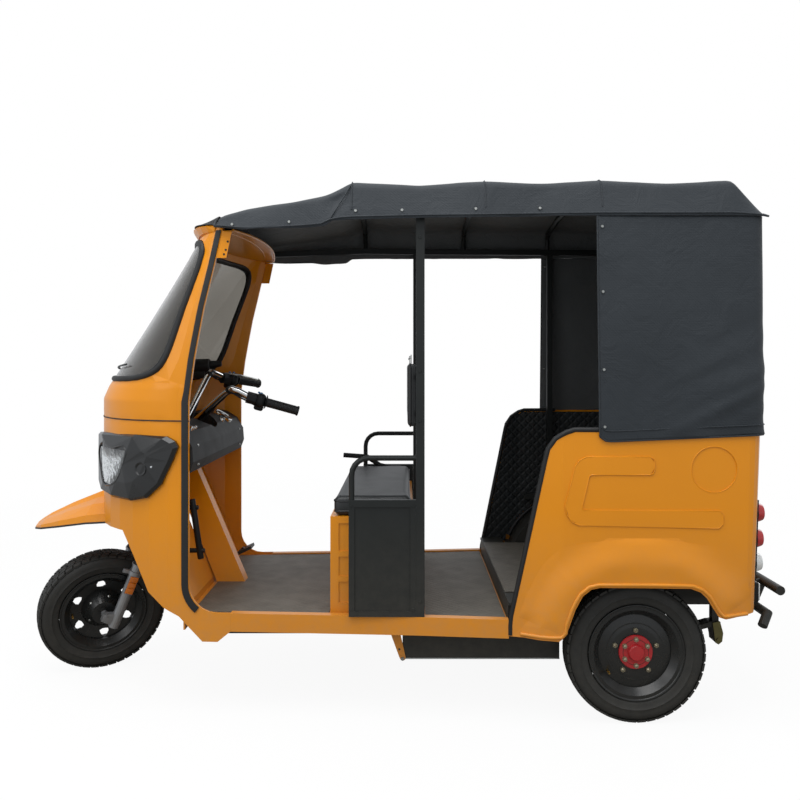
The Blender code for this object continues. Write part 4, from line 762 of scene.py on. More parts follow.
def curtain_point(share, z):
    """A point of the curtain; share runs from 0 at the left front edge to 1 at the right."""
    side_y, back_x = between(SIDE_ROWS, z)
    corner = 0.045
    straight_side = back_x - corner - CURTAIN_FRONT
    quarter = corner * pi / 2
    back = 2 * (side_y - corner)
    run = share * (2 * straight_side + 2 * quarter + back)
    if run < straight_side:
        return Vector((CURTAIN_FRONT + run, -side_y, z)), Vector((0, -1, 0))
    run -= straight_side
    if run < quarter:
        angle = run / corner
        out = Vector((sin(angle), -cos(angle), 0))
        return Vector((back_x - corner, -side_y + corner, z)) + out * corner, out
    run -= quarter
    if run < back:
        return Vector((back_x, -side_y + corner + run, z)), Vector((1, 0, 0))
    run -= back
    if run < quarter:
        angle = run / corner
        out = Vector((cos(angle), sin(angle), 0))
        return Vector((back_x - corner, side_y - corner, z)) + out * corner, out
    run -= quarter
    return Vector((back_x - corner - run, side_y, z)), Vector((0, 1, 0))

bm = bmesh.new()
bmesh.ops.create_grid(bm, x_segments=230, y_segments=90, size=1.0)
low_z, high_z = SIDE_ROWS[0][0], SIDE_ROWS[-1][0]
for vert in bm.verts:
    share = (vert.co.x + 1) / 2
    level = (vert.co.y + 1) / 2
    z = low_z + level * (high_z - low_z)
    point, out = curtain_point(share, z)
    z += hem_lift(point.x, point.y) * (1 - level)
    point, out = curtain_point(share, z)
    loose = min(1.0, level * 1.5, (1 - level) * 4.0 + 0.1) * min(1.0, share * 14, (1 - share) * 14)
    fold = noise.noise(Vector((point.x * 4.6 + point.y * 3.2, point.y * 2.4, z * 1.3)))
    drag = sin((point.x + 0.55 * z) * 21.0 + 2.4 * noise.noise(Vector((point.x * 3, 2, z * 3))))
    corner_drag = max(0.0, 1 - hypot(min(abs(point.x - 1.27), 0.4), z - 1.07) / 0.38)
    crease = noise.noise(Vector(((point.x - 2.2 * z) * 9.0, point.y * 3.0, 6.0 + point.x * 2.0)))
    fine = noise.noise(Vector((point.x * 15.0 + 4.0, point.y * 12.0, z * 9.0)))
    shift = 0.0045 + loose * (0.0065 * fold + 0.0018 * fine) + corner_drag * (0.004 * drag
                                                                           + 0.016 * crease)
    vert.co = point + out * (max(shift, 0.0004) - 0.0022)
    if level < 0.02:
        vert.co.z += 0.0035 * noise.noise(Vector((point.x * 5, point.y * 5, 1.0)))
relax(bm, 2)
bmesh.ops.recalc_face_normals(bm, faces=bm.faces)
if sum(face.normal.y * face.calc_center_median().y for face in bm.faces) < 0:
    bmesh.ops.reverse_faces(bm, faces=bm.faces)
curtain = piece("curtain_cloth", bm, CANVAS, outward=False, crease=60)
line_cloth(curtain, 0.0022)
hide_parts("rear_curtain")

# %% The curtain's doubled hem and front edges, stitched
bm = bmesh.new()
for level in (0.0, 0.035):
    ring = []
    for step in range(121):
        point, out = curtain_point(step / 120, low_z + level)
        point, out = curtain_point(step / 120, low_z + level + hem_lift(point.x, point.y))
        ring.append(point + out * (0.0028 if level else 0.0010))
    add_run(bm, ring, 0.0020 if level else 0.0028, smooth=False, sides=1)
for share in (0.0, 1.0):
    line = []
    for step in range(31):
        z = low_z + 0.016 + (high_z - low_z - 0.016) * step / 30
        point, out = curtain_point(share, z)
        line.append(point + out * 0.0016)
    add_run(bm, line, 0.0030, smooth=False, sides=1)
piece("curtain_hem", bm, CANVAS, crease=80)

bm = bmesh.new()
for px, py in ((605.5, 225.8), (604, 291.6), (602, 369.6), (600, 426.4)):
    x, z = seen(px, py, -0.565)
    for share_side in (-1, 1):
        side_y = between(SIDE_ROWS, z)[0]
        place = Vector((CURTAIN_FRONT + 0.016, share_side * side_y, z))
        out = Vector((0, share_side, 0))
        add_bar(bm, place, place + out * 0.0065, 0.0065, 0.0045, sides=14)
for y in (-0.36, -0.12, 0.12, 0.36):
    add_bar(bm, (1.2865, y, 1.012), (1.2955, y, 1.012), 0.0065, 0.0045, sides=14)
piece("curtain_studs", bm, ZINC)

# %% [markdown]
# ## Tyres
# A rib tyre for light three-wheelers: a smooth rounded carcass with blocks of tread
# standing on it. The carcass is turned on a lathe. One pitch of the tread, a centre block and
# two shoulder blocks a side, is modelled once and repeated round the tyre, which is how the
# mould is cut too. The tread reaches the radius of the solid model; the grooves go inwards.

# %% Where each wheel stands
RAKE, TURN = radians(22), radians(30)
REAR_X, REAR_Z = 0.875, 0.2475
FRONT_CENTRE = Vector((-1.18, -0.015, 0.24654))
steer_turn = Matrix.Rotation(RAKE, 4, "Y") @ Matrix.Rotation(TURN, 4, "Z")
front_place = Matrix.Translation(FRONT_CENTRE) @ steer_turn
steer_place = Matrix.Translation((-1.155911, 0.0, 0.236807)) @ steer_turn
rear_place = {side: Matrix.Translation((REAR_X, side * 0.485, REAR_Z)) for side in (-1, 1)}
WHEELS = (("front", front_place, "front_wheel", "front_tyre"),
          ("rear_left", rear_place[-1], "rear_wheel_left", "rear_tyre_left"),
          ("rear_right", rear_place[1], "rear_wheel_right", "rear_tyre_right"))

# %% The carcass and its tread
TREAD_R, GROOVE = 0.2475, 0.0055
CARCASS = ((0.0, TREAD_R - GROOVE), (0.016, TREAD_R - GROOVE - 0.0006), (0.030, TREAD_R - 0.0100),
           (0.0395, TREAD_R - 0.0165), (0.0450, TREAD_R - 0.0270), (0.0472, TREAD_R - 0.0390),
           (0.0466, TREAD_R - 0.0500), (0.0478, TREAD_R - 0.0515), (0.0462, TREAD_R - 0.0535),
           (0.0440, TREAD_R - 0.0620), (0.0418, TREAD_R - 0.0700), (0.0405, TREAD_R - 0.0755),
           (0.0346, 0.1682))
PITCHES = 44

def crown(axial):
    """Radius of the tread's surface at a distance from the tyre's middle."""
    return TREAD_R - 0.0004 - 4.9 * max(0.0, abs(axial) - 0.008) ** 2

def add_tread_block(bm, angle, span, axial, lean, place):
    """A block on the crown: angles and axial positions of its four corners, then its sides."""
    corners = []
    for across, along in ((axial[0], -1), (axial[1], -1), (axial[1], 1), (axial[0], 1)):
        turn = angle + span * along / 2 + lean * (across - axial[0]) / (axial[1] - axial[0])
        corners.append((across, turn))
    rings = []
    for depth in (0.0, GROOVE + 0.002):
        middle = sum(turn for _, turn in corners) / 4
        centre = sum(across for across, _ in corners) / 4
        ring = []
        for across, turn in corners:
            grow = 1.12 if depth else 1.0
            a = centre + (across - centre) * grow
            t = middle + (turn - middle) * grow
            r = crown(across) - depth
            ring.append(bm.verts.new(place @ Vector((r * cos(t), a, r * sin(t)))))
        rings.append(ring)
    bm.faces.new(rings[0])
    bm.faces.new(reversed(rings[1]))
    bmesh.ops.bridge_loops(bm, edges=[bm.edges.get(pair) for ring in rings
                                      for pair in zip(ring, ring[1:] + ring[:1])])

for label, place, body, node in WHEELS:
    bm = bmesh.new()
    profile = list(CARCASS) + [(-axial, radius) for axial, radius in reversed(CARCASS[1:])]
    add_turned(bm, profile, place, steps=96)
    tyre = piece(f"{label}_carcass", bm, TYRE, body, crease=50)
    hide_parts(node)
    bm = bmesh.new()
    step = 2 * pi / PITCHES
    for pitch in range(PITCHES):
        angle = pitch * step
        add_tread_block(bm, angle, step * 0.84, (-0.0075, 0.0075), step * 0.25, place)
        for side in (-1, 1):
            inner = (side * 0.0105, side * 0.0235)
            outer = (side * 0.0270, side * 0.0405)
            half = step / 2 if side > 0 else 0.0
            add_tread_block(bm, angle + half, step * 0.82, inner, step * 0.30, place)
            add_tread_block(bm, angle + half + step * 0.42, step * 0.80, outer, step * 0.12,
                            place)
    piece(f"{label}_tread", bm, TYRE, body, crease=30)

# %% [markdown]
# ## Wheel fittings
# The rear wheels are driven: a red cap with six screws covers the shaft's end, and five
# domed nuts hold the rim. The front wheel has a spindle nut, a brake drum inside and a
# brass valve. They are turned and bolted parts, so they are modelled as those.

# %% Hexagon nuts and screws
def add_hex(bm, centre, out, across, height, dome=0.0):
    centre, out = Vector(centre), Vector(out).normalized()
    add_bar(bm, centre, centre + out * height, across / sqrt(3), sides=6)
    if dome:
        add_bar(bm, centre + out * height, centre + out * (height + dome), across * 0.42,
                across * 0.16, sides=12)

# %% The rim's bead, turned, and the tyre's valve
BEAD = ((0.0405, 0.1668), (0.0425, 0.1678), (0.0432, 0.1662), (0.0420, 0.1625), (0.0400, 0.1610))
VALVE_R = 0.118

def add_valve(label, body, place, side, turn, axial, neck, tip):
    """A valve at an angle round the wheel: a stem up to neck and a cap up to tip."""
    bm = bmesh.new()
    out = place.to_3x3() @ Vector((0, side, 0))
    foot = place @ Vector((VALVE_R * cos(turn), side * axial, VALVE_R * sin(turn)))
    add_bar(bm, foot, foot + out * neck, 0.0042, sides=12)
    add_bar(bm, foot + out * neck, foot + out * tip, 0.0035, 0.003, sides=12)
    piece(label, bm, BRASS, body, crease=30)

# %% Rear hubs
for side, label, body in ((-1, "left", "rear_wheel_left"), (1, "right", "rear_wheel_right")):
    place = rear_place[side]
    bm = bmesh.new()
    face = [(0.020, 0.0), (0.020, 0.057), (0.028, 0.060), (0.0315, 0.058), (0.0325, 0.030),
            (0.041, 0.0275), (0.0440, 0.0245), (0.0450, 0.0)]
    profile = [(side * axial, max(radius, 0.0006)) for axial, radius in face]
    add_turned(bm, profile, place, steps=48)
    piece(f"hub_cap_{label}", bm, HUB_RED, body, crease=30)
    bm = bmesh.new()
    out = Vector((0, side, 0))
    for number in range(6):
        angle = radians(30 + 60 * number)
        at = place @ Vector((0.0455 * cos(angle), side * 0.0318, 0.0455 * sin(angle)))
        add_bar(bm, at, at + out * 0.0015, 0.0085, sides=18)
        add_hex(bm, at + out * 0.0015, out, 0.0135, 0.0075, 0.002)
    piece(f"hub_screws_{label}", bm, NUTS, body, crease=30)
    bm = bmesh.new()
    for number in range(5):
        angle = radians(90 + 72 * number)
        at = place @ Vector((0.076 * cos(angle), side * 0.019, 0.076 * sin(angle)))
        add_bar(bm, at, at + out * 0.004, 0.0105, sides=20)
        add_hex(bm, at + out * 0.004, out, 0.015, 0.009, 0.005)
    piece(f"wheel_nuts_{label}", bm, NUTS, body, crease=30)
    bm = bmesh.new()
    add_turned(bm, [(side * axial, radius) for axial, radius in BEAD], place, steps=72)
    add_turned(bm, [(side * a, r) for a, r in ((0.019, 0.1010), (0.0215, 0.1000), (0.0215, 0.0940),
                                               (0.019, 0.0925))], place, steps=64)
    piece(f"rim_beads_{label}", bm, RIM, body, crease=50)
    add_valve(f"valve_{label}", body, place, side, radians(215), 0.012, 0.026, 0.036)

# %% Enamelled insides of the rims, turned finer than the solids
LIP, LIP_R, WELL_R = 0.0400, 0.1497, 0.1290
barrel = ((LIP - 0.0004, LIP_R - 0.0009), (0.0180, WELL_R - 0.0009))
dish = ((0.0150, WELL_R - 0.0012), (0.0160, WELL_R - 0.0050), (0.0236, 0.0860), (0.0240, 0.0840),
        (0.0236, 0.0560), (0.0236, 0.0520))
for label, place, body, disc in (("rear_left", rear_place[-1], "rear_wheel_left", -1),
                                 ("rear_right", rear_place[1], "rear_wheel_right", 1),
                                 ("front", front_place, "front_wheel", 0)):
    bm = bmesh.new()
    for face in (-1, 1):
        line = list(barrel) + (list(dish) if face == disc else [(0.0060, WELL_R - 0.0009)])
        back = [(axial - (0.0008 if radius < WELL_R - 0.002 else 0.0),
                 radius + (0.0006 if radius > 0.09 else 0.0)) for axial, radius in reversed(line)]
        add_turned(bm, [(face * axial, radius) for axial, radius in line + back], place, steps=96)
    piece(f"rim_inside_{label}", bm, RIM, body, crease=30)

# %% Front hub, brake drum, spindle nuts and valve
bm = bmesh.new()
add_turned(bm, [(0.012, 0.040), (0.012, 0.066), (0.0145, 0.069), (0.040, 0.069), (0.043, 0.066),
                (0.0452, 0.030), (0.0452, 0.018), (0.030, 0.018)], front_place, steps=56)
piece("front_brake_drum", bm, AXLE, "front_wheel", crease=30)
bm = bmesh.new()
for number in range(5):
    angle = radians(18 + 72 * number)
    at = front_place @ Vector((0.060 * cos(angle), -0.0135, 0.060 * sin(angle)))
    out = front_place.to_3x3() @ Vector((0, -1, 0))
    add_hex(bm, at, out, 0.013, 0.008, 0.004)
piece("front_wheel_nuts", bm, ZINC, "front_wheel", crease=30)
bm = bmesh.new()
for side in (-1, 1):
    add_turned(bm, [(side * axial, radius) for axial, radius in BEAD], front_place, steps=72)
piece("front_rim_beads", bm, RIM, "front_wheel", crease=50)
add_valve("front_valve", "front_wheel", front_place, -1, radians(201), 0.014, 0.024, 0.033)

# %% [markdown]
# ## Windscreen seal and cab trims
# The glass sits in a thick rubber profile that shows as a black band round it. The pillars'
# rear edges carry a push-on edge strip, from the header down to the sill. Both follow edges
# of the cab, so the cab's curve is written down once and the strips are drawn along it.

# %% The cab's surface
CAB = ((0.200, -1.1480, -0.7035, 0.450), (1.120, -1.1480, -0.7035, 0.450),
       (1.170, -1.1245, -0.6975, 0.450), (1.280, -1.0487, -0.6830, 0.449),
       (1.455, -0.9280, -0.6500, 0.448), (1.620, -0.8142, -0.6100, 0.447),
       (1.745, -0.7280, -0.5830, 0.447))

def cab_point(degrees, z, offset=0.0):
    """A point of the cab at an angle round from its nose, moved outwards by offset."""
    nose, door, wide = between(CAB, z)
    deep, angle = door - nose, radians(degrees)
    out = Vector((-wide * cos(angle), deep * sin(angle), 0)).normalized()
    return Vector((door - deep * cos(angle), wide * sin(angle), z)) + out * offset

def screen_line(scale, offset, count=120):
    """Points round the windscreen, whose corners are rounded in angle and height."""
    points = []
    for number in range(count):
        turn = 2 * pi * number / count
        u, v = cos(turn), sin(turn)
        big = max(abs(u), abs(v))
        u, v = u / big, v / big
        round_off = (abs(u) ** 7 + abs(v) ** 7) ** (-1 / 7)
        points.append(cab_point(u * round_off * scale * 73.0,
                                (1.197 + 1.706) / 2 + v * round_off * scale * 0.2545, offset))
    return points

# %% Windscreen pane: the same shape with an even mesh, so that its reflections aren't broken
bm = bmesh.new()
edges = []
for offset in (-0.0003, -0.0047):
    rows = [[bm.verts.new(point) for point in screen_line(0.985 * share, offset, 96)]
            for share in (1.0, 0.95, 0.88, 0.80, 0.71, 0.62, 0.53, 0.44, 0.35, 0.26, 0.17, 0.09,
                          0.03)]
    for row, after in zip(rows, rows[1:]):
        for i in range(96):
            bm.faces.new((row[i], row[i - 1], after[i - 1], after[i]))
    bm.faces.new(rows[-1])
    edges.append(rows[0])
for i in range(96):
    bm.faces.new((edges[0][i], edges[0][i - 1], edges[1][i - 1], edges[1][i]))
pane = piece("windscreen_pane", bm, GLASS, crease=50)
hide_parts("windscreen")

# %% Windscreen seal, outside and inside
bm = bmesh.new()
add_run(bm, screen_line(1.0, -0.002), 0.0115, closed=True, smooth=False, sides=4)
add_run(bm, screen_line(0.975, 0.0015), 0.0045, closed=True, smooth=False, sides=2)
add_run(bm, screen_line(1.0, -0.0135), 0.0075, closed=True, smooth=False, sides=2)
piece("windscreen_seal", bm, RUBBER, crease=60)

# %% Edge strips of the door openings
def edge_angle(z, back):
    """The angle round the cab that lies a distance in front of the door's edge."""
    nose, door, _ = between(CAB, z)
    return degrees(acos(back / (door - nose)))

bm = bmesh.new()
for side in (-1, 1):
    out = Vector((0, side, 0))
    rows = []
    for step in range(34):
        z = 1.733 - (1.733 - 0.4655) * step / 33
        wide = 0.020 if z > 1.15 else 0.024
        rows.append((cab_point(side * edge_angle(z, 0.003), z),
                     cab_point(side * edge_angle(z, 0.003 + wide), z), out))
    for step in range(1, 8):
        angle = radians(180 + 52 * step / 7)
        pair = []
        for radius in (0.103, 0.127):
            x, z = -0.6035 + radius * cos(angle), 0.4655 + radius * sin(angle)
            pair.append(Vector((x, side * (0.450 + (x + 0.7035) * 0.0607), z)))
        rows.append((pair[0], pair[1], out))
    add_band(bm, rows, 0.0045)
piece("door_edge_strips", bm, RUBBER, crease=50)

def strip(name, lines, radius, material, body="body", sides=3):
    bm = bmesh.new()
    for line in lines:
        add_run(bm, line, radius, smooth=False, sides=sides)
    return piece(name, bm, material, body, crease=60)

strip("cowl_seam", [[cab_point(angle, 1.050, 0.0004) for angle in range(-90, 91, 3)]], 0.0022,
      RUBBER, sides=2)

# %% Rubber apron over the visor: it closes the gap between the screen's header and the roof
def roof_height(x, y):
    """Height of the roof's surface above a place, walking outwards from its crown."""
    for step in range(201):
        point = roof_point(x, step / 200)
        if point.y >= abs(y):
            return point.z
    return roof_point(x, 1.0).z

bm = bmesh.new()
grid = []
for degrees_round in range(-84, 85, 4):
    reach = 0.042 * max(cos(radians(degrees_round * 90 / 84)), 0.0) ** 0.6
    swell = 0.030 * cos(radians(degrees_round)) ** 2
    tip = cab_point(degrees_round, CAB[-1][0] + 0.0062 + swell, reach * 0.90)
    top = cab_point(degrees_round, CAB[-1][0] + 0.0078 + swell, reach * 0.62)
    back = Vector((-0.600, top.y * 1.02, roof_height(-0.600, top.y * 1.02) + 0.0012))
    middle = (top + back) / 2 + Vector((0, 0, 0.002))
    grid.append([bm.verts.new(p) for p in (tip, top, middle, back)])
faces = [bm.faces.new((a[i], a[i + 1], b[i + 1], b[i])) for a, b in zip(grid, grid[1:])
         for i in range(3)]
push(bm, faces, (0, 0, 0.0024))
piece("header_apron", bm, RUBBER, crease=60)

# %% Inner header panel; its rear edge bulges between the pillars
bm = bmesh.new()
bmesh.ops.create_grid(bm, x_segments=10, y_segments=40, size=1.0)
edge = {}
for vert in bm.verts:
    across, share = vert.co.y, (vert.co.x + 1) / 2
    front = cab_point(degrees(asin(across * 0.955)), 1.745, -0.031)
    back = Vector((-0.549 + 0.049 * (1 - across ** 2), across * 0.432, 0))
    place = front.lerp(back, share)
    place.z = 1.7365 + 0.010 * (1 - across ** 2) * share
    vert.co = place
    if share > 0.999:
        edge[across] = place.copy()
push(bm, bm.faces[:], (0, 0, -0.002))
rim = [edge[across] - Vector((0, 0, 0.001)) for across in sorted(edge)]
add_run(bm, rim, 0.0042, smooth=False, sides=3)
add_run(bm, [point + Vector((-0.045, 0, -0.0015)) for point in rim[3:-3]], 0.0028, smooth=False,
        sides=2)
piece("header_panel", bm, ENAMEL, crease=50)

# %% [markdown]
# Folded brackets join the pillars to the roof. They are flat sheet, so each is a plate with
# its own outline; the holes are shown as dark countersunk screws, whose black is painted
# shade for the dark of the holes.

# %% Brackets at the top of each pillar
bm, hole_shade_marks = bmesh.new(), bmesh.new()
for side in (-1, 1):
    add_plate(bm, ((-0.588, 1.729), (-0.552, 1.727), (-0.5715, 1.634), (-0.607, 1.634)),
              side * 0.4465, -side * 0.003)
    add_block(bm, (-0.588, min(side * 0.4465, side * 0.405), 1.7285),
              (-0.552, max(side * 0.4465, side * 0.405), 1.7315), 0.001)
    # Dark screws stand where the bracket's holes are; their black is painted shade for the holes.
    for x, z in ((-0.5656, 1.6925), (-0.5730, 1.6628), (-0.5792, 1.6470)):
        at = Vector((x, side * 0.4462, z))
        add_bar(hole_shade_marks, at, at + Vector((0, side * 0.0014, 0)), 0.0042, 0.0036, sides=14)
piece("pillar_brackets", bm, ENAMEL)
piece("pillar_hole_shade_screws", hole_shade_marks, FRAME, crease=30)

# %% [markdown]
# ## Wiper
# A single arm parks low on the glass. Its motor sits inside on the panel below the screen,
# with a cast body and a plastic cap.

# %% Wiper arm, blade and motor
bm = bmesh.new()
add_bar(bm, cab_point(22, 1.186, -0.010), cab_point(22, 1.186, 0.022), 0.011, 0.008, sides=18)
arm = [cab_point(22, 1.186, 0.020), cab_point(16, 1.200, 0.026), cab_point(4, 1.225, 0.024),
       cab_point(-10, 1.240, 0.020)]
add_run(bm, arm, 0.0042, smooth=True, sides=3)
add_run(bm, [cab_point(angle, 1.222 + 0.0011 * (14 - angle) * 0.5, 0.011)
             for angle in range(14, -43, -4)], 0.0038, smooth=True, sides=2)
piece("wiper", bm, FRAME, crease=50)
bm = bmesh.new()
spot = Vector((-0.862, 0.300, 1.240))
add_bar(bm, spot + Vector((-0.040, 0, 0)), spot + Vector((0.048, 0, 0.006)), 0.036, 0.032,
        sides=28, rounding=0.005)
add_block(bm, spot + Vector((-0.030, -0.030, -0.052)), spot + Vector((0.030, 0.026, -0.016)), 0.007)
add_bar(bm, spot + Vector((0.040, 0, 0.010)), spot + Vector((0.098, 0.010, 0.016)), 0.020, 0.012,
        sides=20, rounding=0.004)
add_bar(bm, spot + Vector((0, 0, -0.045)), cab_point(44, 1.182, -0.014), 0.011, sides=14)
add_bar(bm, spot + Vector((-0.030, -0.010, -0.030)), cab_point(26, 1.184, -0.012), 0.008, sides=12)
piece("wiper_motor", bm, ABS, crease=40)

# %% [markdown]
# ## Headlamps
# Behind each clear lens lies a bright reflector with upright flutes, and a round dished
# blank with a screw sits further back in the pod. The reflector is a shallow shell that
# follows the lens a few millimetres in.

# %% Reflectors and side blanks
LENS_LINE = ((33.5, 0.941), (48, 0.942), (58.5, 0.939), (57.5, 0.900), (54, 0.847),
             (51, 0.823), (46, 0.807), (39.5, 0.809), (35.5, 0.852))
mid_turn = sum(turn for turn, _ in LENS_LINE) / len(LENS_LINE)
mid_z = sum(z for _, z in LENS_LINE) / len(LENS_LINE)
shine, bezel, glow_ring = bmesh.new(), bmesh.new(), bmesh.new()
for side in (-1, 1):
    rings = []
    for scale, offset in ((0.985, 0.0135), (0.80, 0.0120), (0.45, 0.0112), (0.16, 0.0110)):
        ring = []
        for number in range(len(LENS_LINE)):
            here, ahead = LENS_LINE[number], LENS_LINE[(number + 1) % len(LENS_LINE)]
            for part in range(4):
                turn = here[0] + (ahead[0] - here[0]) * part / 4
                z = here[1] + (ahead[1] - here[1]) * part / 4
                turn = mid_turn + (turn - mid_turn) * scale
                flute = 0.0007 * cos(turn * 3.2) if scale > 0.2 else 0.0
                ring.append(shine.verts.new(cab_point(side * turn, mid_z + (z - mid_z) * scale,
                                                      offset + flute)))
        edges = [shine.edges.new(pair) for pair in zip(ring, ring[1:] + ring[:1])]
        rings.append((ring, edges))
    for (_, first), (_, second) in zip(rings, rings[1:]):
        bmesh.ops.bridge_loops(shine, edges=first + second)
    shine.faces.new(rings[-1][0])
    line = [cab_point(side * (mid_turn + (turn - mid_turn) * 1.03), mid_z + (z - mid_z) * 1.03,
                      0.0235) for turn, z in LENS_LINE]
    add_run(bezel, line, 0.0034, closed=True, smooth=True, sides=2)
    spot, tip = cab_point(side * 67.8, 0.877, 0.0215), cab_point(side * 67.8, 0.877, 0.030)
    out = (tip - spot).normalized()
    add_turned(glow_ring, [(0.0, 0.0006), (0.0012, 0.012), (0.0046, 0.0205), (0.0062, 0.0225),
                           (0.0060, 0.0245), (0.0, 0.0262)], turned_to(spot, tip), steps=40,
               closed=False)
    screw = cab_point(side * 73.4, 0.886, 0.0225)
    add_bar(shine, screw, screw + out * 0.0030, 0.0042, 0.0034, sides=12)
piece("headlamp_reflectors", shine, MIRROR, crease=60)
piece("headlamp_bezels", bezel, GLOSS_ABS, crease=50)
piece("side_lamps", glow_ring, GLOSS_ABS, crease=50)

# %% [markdown]
# ## Mats and quilted lining
# A ribbed rubber mat lies on each floor, cut to its shape, and a quilted panel lines the
# body beside the passengers. A mat is a grid drawn in along the body's taper and given a
# thickness; the lining is a grid that follows the inside of the body side. The lining's
# cut-out over the wheel is stepped like its grid, so a rubber bead covers that edge.

# %% Half width of the body at x
BODY = ((-0.7035, 0.450), (0.120, 0.500), (0.430, 0.530), (0.620, 0.574), (0.750, 0.580),
        (1.300, 0.580))

def half_width(x):
    return between(BODY, x)[0]

# %% Floor mats
def mat(name, front, back, z, inset, thickness=0.005, rows=24):
    bm = bmesh.new()
    bmesh.ops.create_grid(bm, x_segments=rows, y_segments=8, size=1.0)
    for vert in bm.verts:
        x = front + (vert.co.x + 1) / 2 * (back - front)
        y = vert.co.y * (half_width(x) - inset)
        roll = 0.0008 * noise.noise(Vector((x * 7, y * 7, 0)))
        vert.co = Vector((x, y, z + thickness + roll))
    made = bmesh.ops.extrude_face_region(bm, geom=bm.faces[:])
    lowered = [v for v in made["geom"] if isinstance(v, bmesh.types.BMVert)]
    for vert in lowered:
        vert.co.z = z + 0.0003
    return piece(name, bm, MAT, crease=30)

mat("driver_mat", -0.700, -0.204, 0.3550, 0.036)
mat("passenger_mat", 0.142, 0.424, 0.3550, 0.036)
bm = bmesh.new()
add_block(bm, (0.4335, -0.392, 0.4203), (0.796, 0.392, 0.4245), 0.0015)
piece("rear_mat", bm, MAT)

# %% Lining of the body sides
WHEELHOUSE_Z, WHEELHOUSE_R = 0.2775, 0.338

def front_edge(z):
    """X of the body side's front edge at a height, from the step to the rounded top."""
    line = ((0.365, 0.4343), (0.924, 0.551), (0.962, 0.560), (0.998, 0.585), (1.020, 0.620),
            (1.028, 0.668))
    return between(line, z)[0]

for side, label in SIDES:
    bm = bmesh.new()
    bmesh.ops.create_grid(bm, x_segments=60, y_segments=40, size=1.0)
    for vert in bm.verts:
        z = 0.400 + (vert.co.y + 1) / 2 * (1.022 - 0.400)
        start = front_edge(z) + 0.010
        x = start + (vert.co.x + 1) / 2 * (1.215 - start)
        vert.co = Vector((x, side * (half_width(x) - 0.0145), z))
    gone = [v for v in bm.verts
            if hypot(v.co.x - REAR_X, v.co.z - WHEELHOUSE_Z) < WHEELHOUSE_R - 0.002]
    bmesh.ops.delete(bm, geom=gone, context="VERTS")
    made = bmesh.ops.extrude_face_region(bm, geom=bm.faces[:])
    for vert in [v for v in made["geom"] if isinstance(v, bmesh.types.BMVert)]:
        vert.co.y -= side * 0.0035
    piece(f"side_lining_{label}", bm, QUILT, crease=50)

def wheelhouse_point(side, angle):
    x = REAR_X + WHEELHOUSE_R * cos(radians(angle))
    z = WHEELHOUSE_Z + WHEELHOUSE_R * sin(radians(angle))
    return Vector((x, side * (half_width(x) - 0.0165), z))

strip("wheelhouse_trim", [[wheelhouse_point(side, angle) for angle in range(26, 155, 4)]
                          for side in (-1, 1)], 0.009, RUBBER)

# %% Black trim along the body side's front and top edge
trim = []
for side in (-1, 1):
    line = []
    for z in [0.312 + (0.924 - 0.312) * i / 18 for i in range(19)] + [0.945, 0.962, 0.980, 0.998,
                                                                      1.010, 1.020]:
        x = front_edge(z)
        line.append(Vector((x + 0.002, side * (half_width(x) - 0.005), z)))
    for x in (0.650, 0.677, 0.72, 0.80):
        line.append(Vector((x, side * (half_width(x) - 0.005), 1.029)))
    trim.append(line)
strip("body_edge_trim", trim, 0.0095, RUBBER, sides=4)

# %% [markdown]
# ## Handlebar
# A bright plated tube carries a rounded switch housing and a ribbed rubber grip on each
# side. The tube is drawn as a sleeve over the solid model's bar; the housings and grips are
# turned or rounded shapes laid along its last straight.

# %% A ribbed grip, as a line for the lathe
def grip_line(length):
    line = [(0.0, 0.004), (0.001, 0.0205), (0.005, 0.0205), (0.007, 0.0184)]
    for rib in range(20):
        at = 0.012 + rib * (length - 0.026) / 20
        line += [(at, 0.0175), (at + 0.001, 0.0184), (at + 0.004, 0.0184), (at + 0.005, 0.0175)]
    return line + [(length - 0.008, 0.0184), (length - 0.006, 0.0205), (length - 0.002, 0.0200),
                   (length, 0.0160), (length, 0.004)]

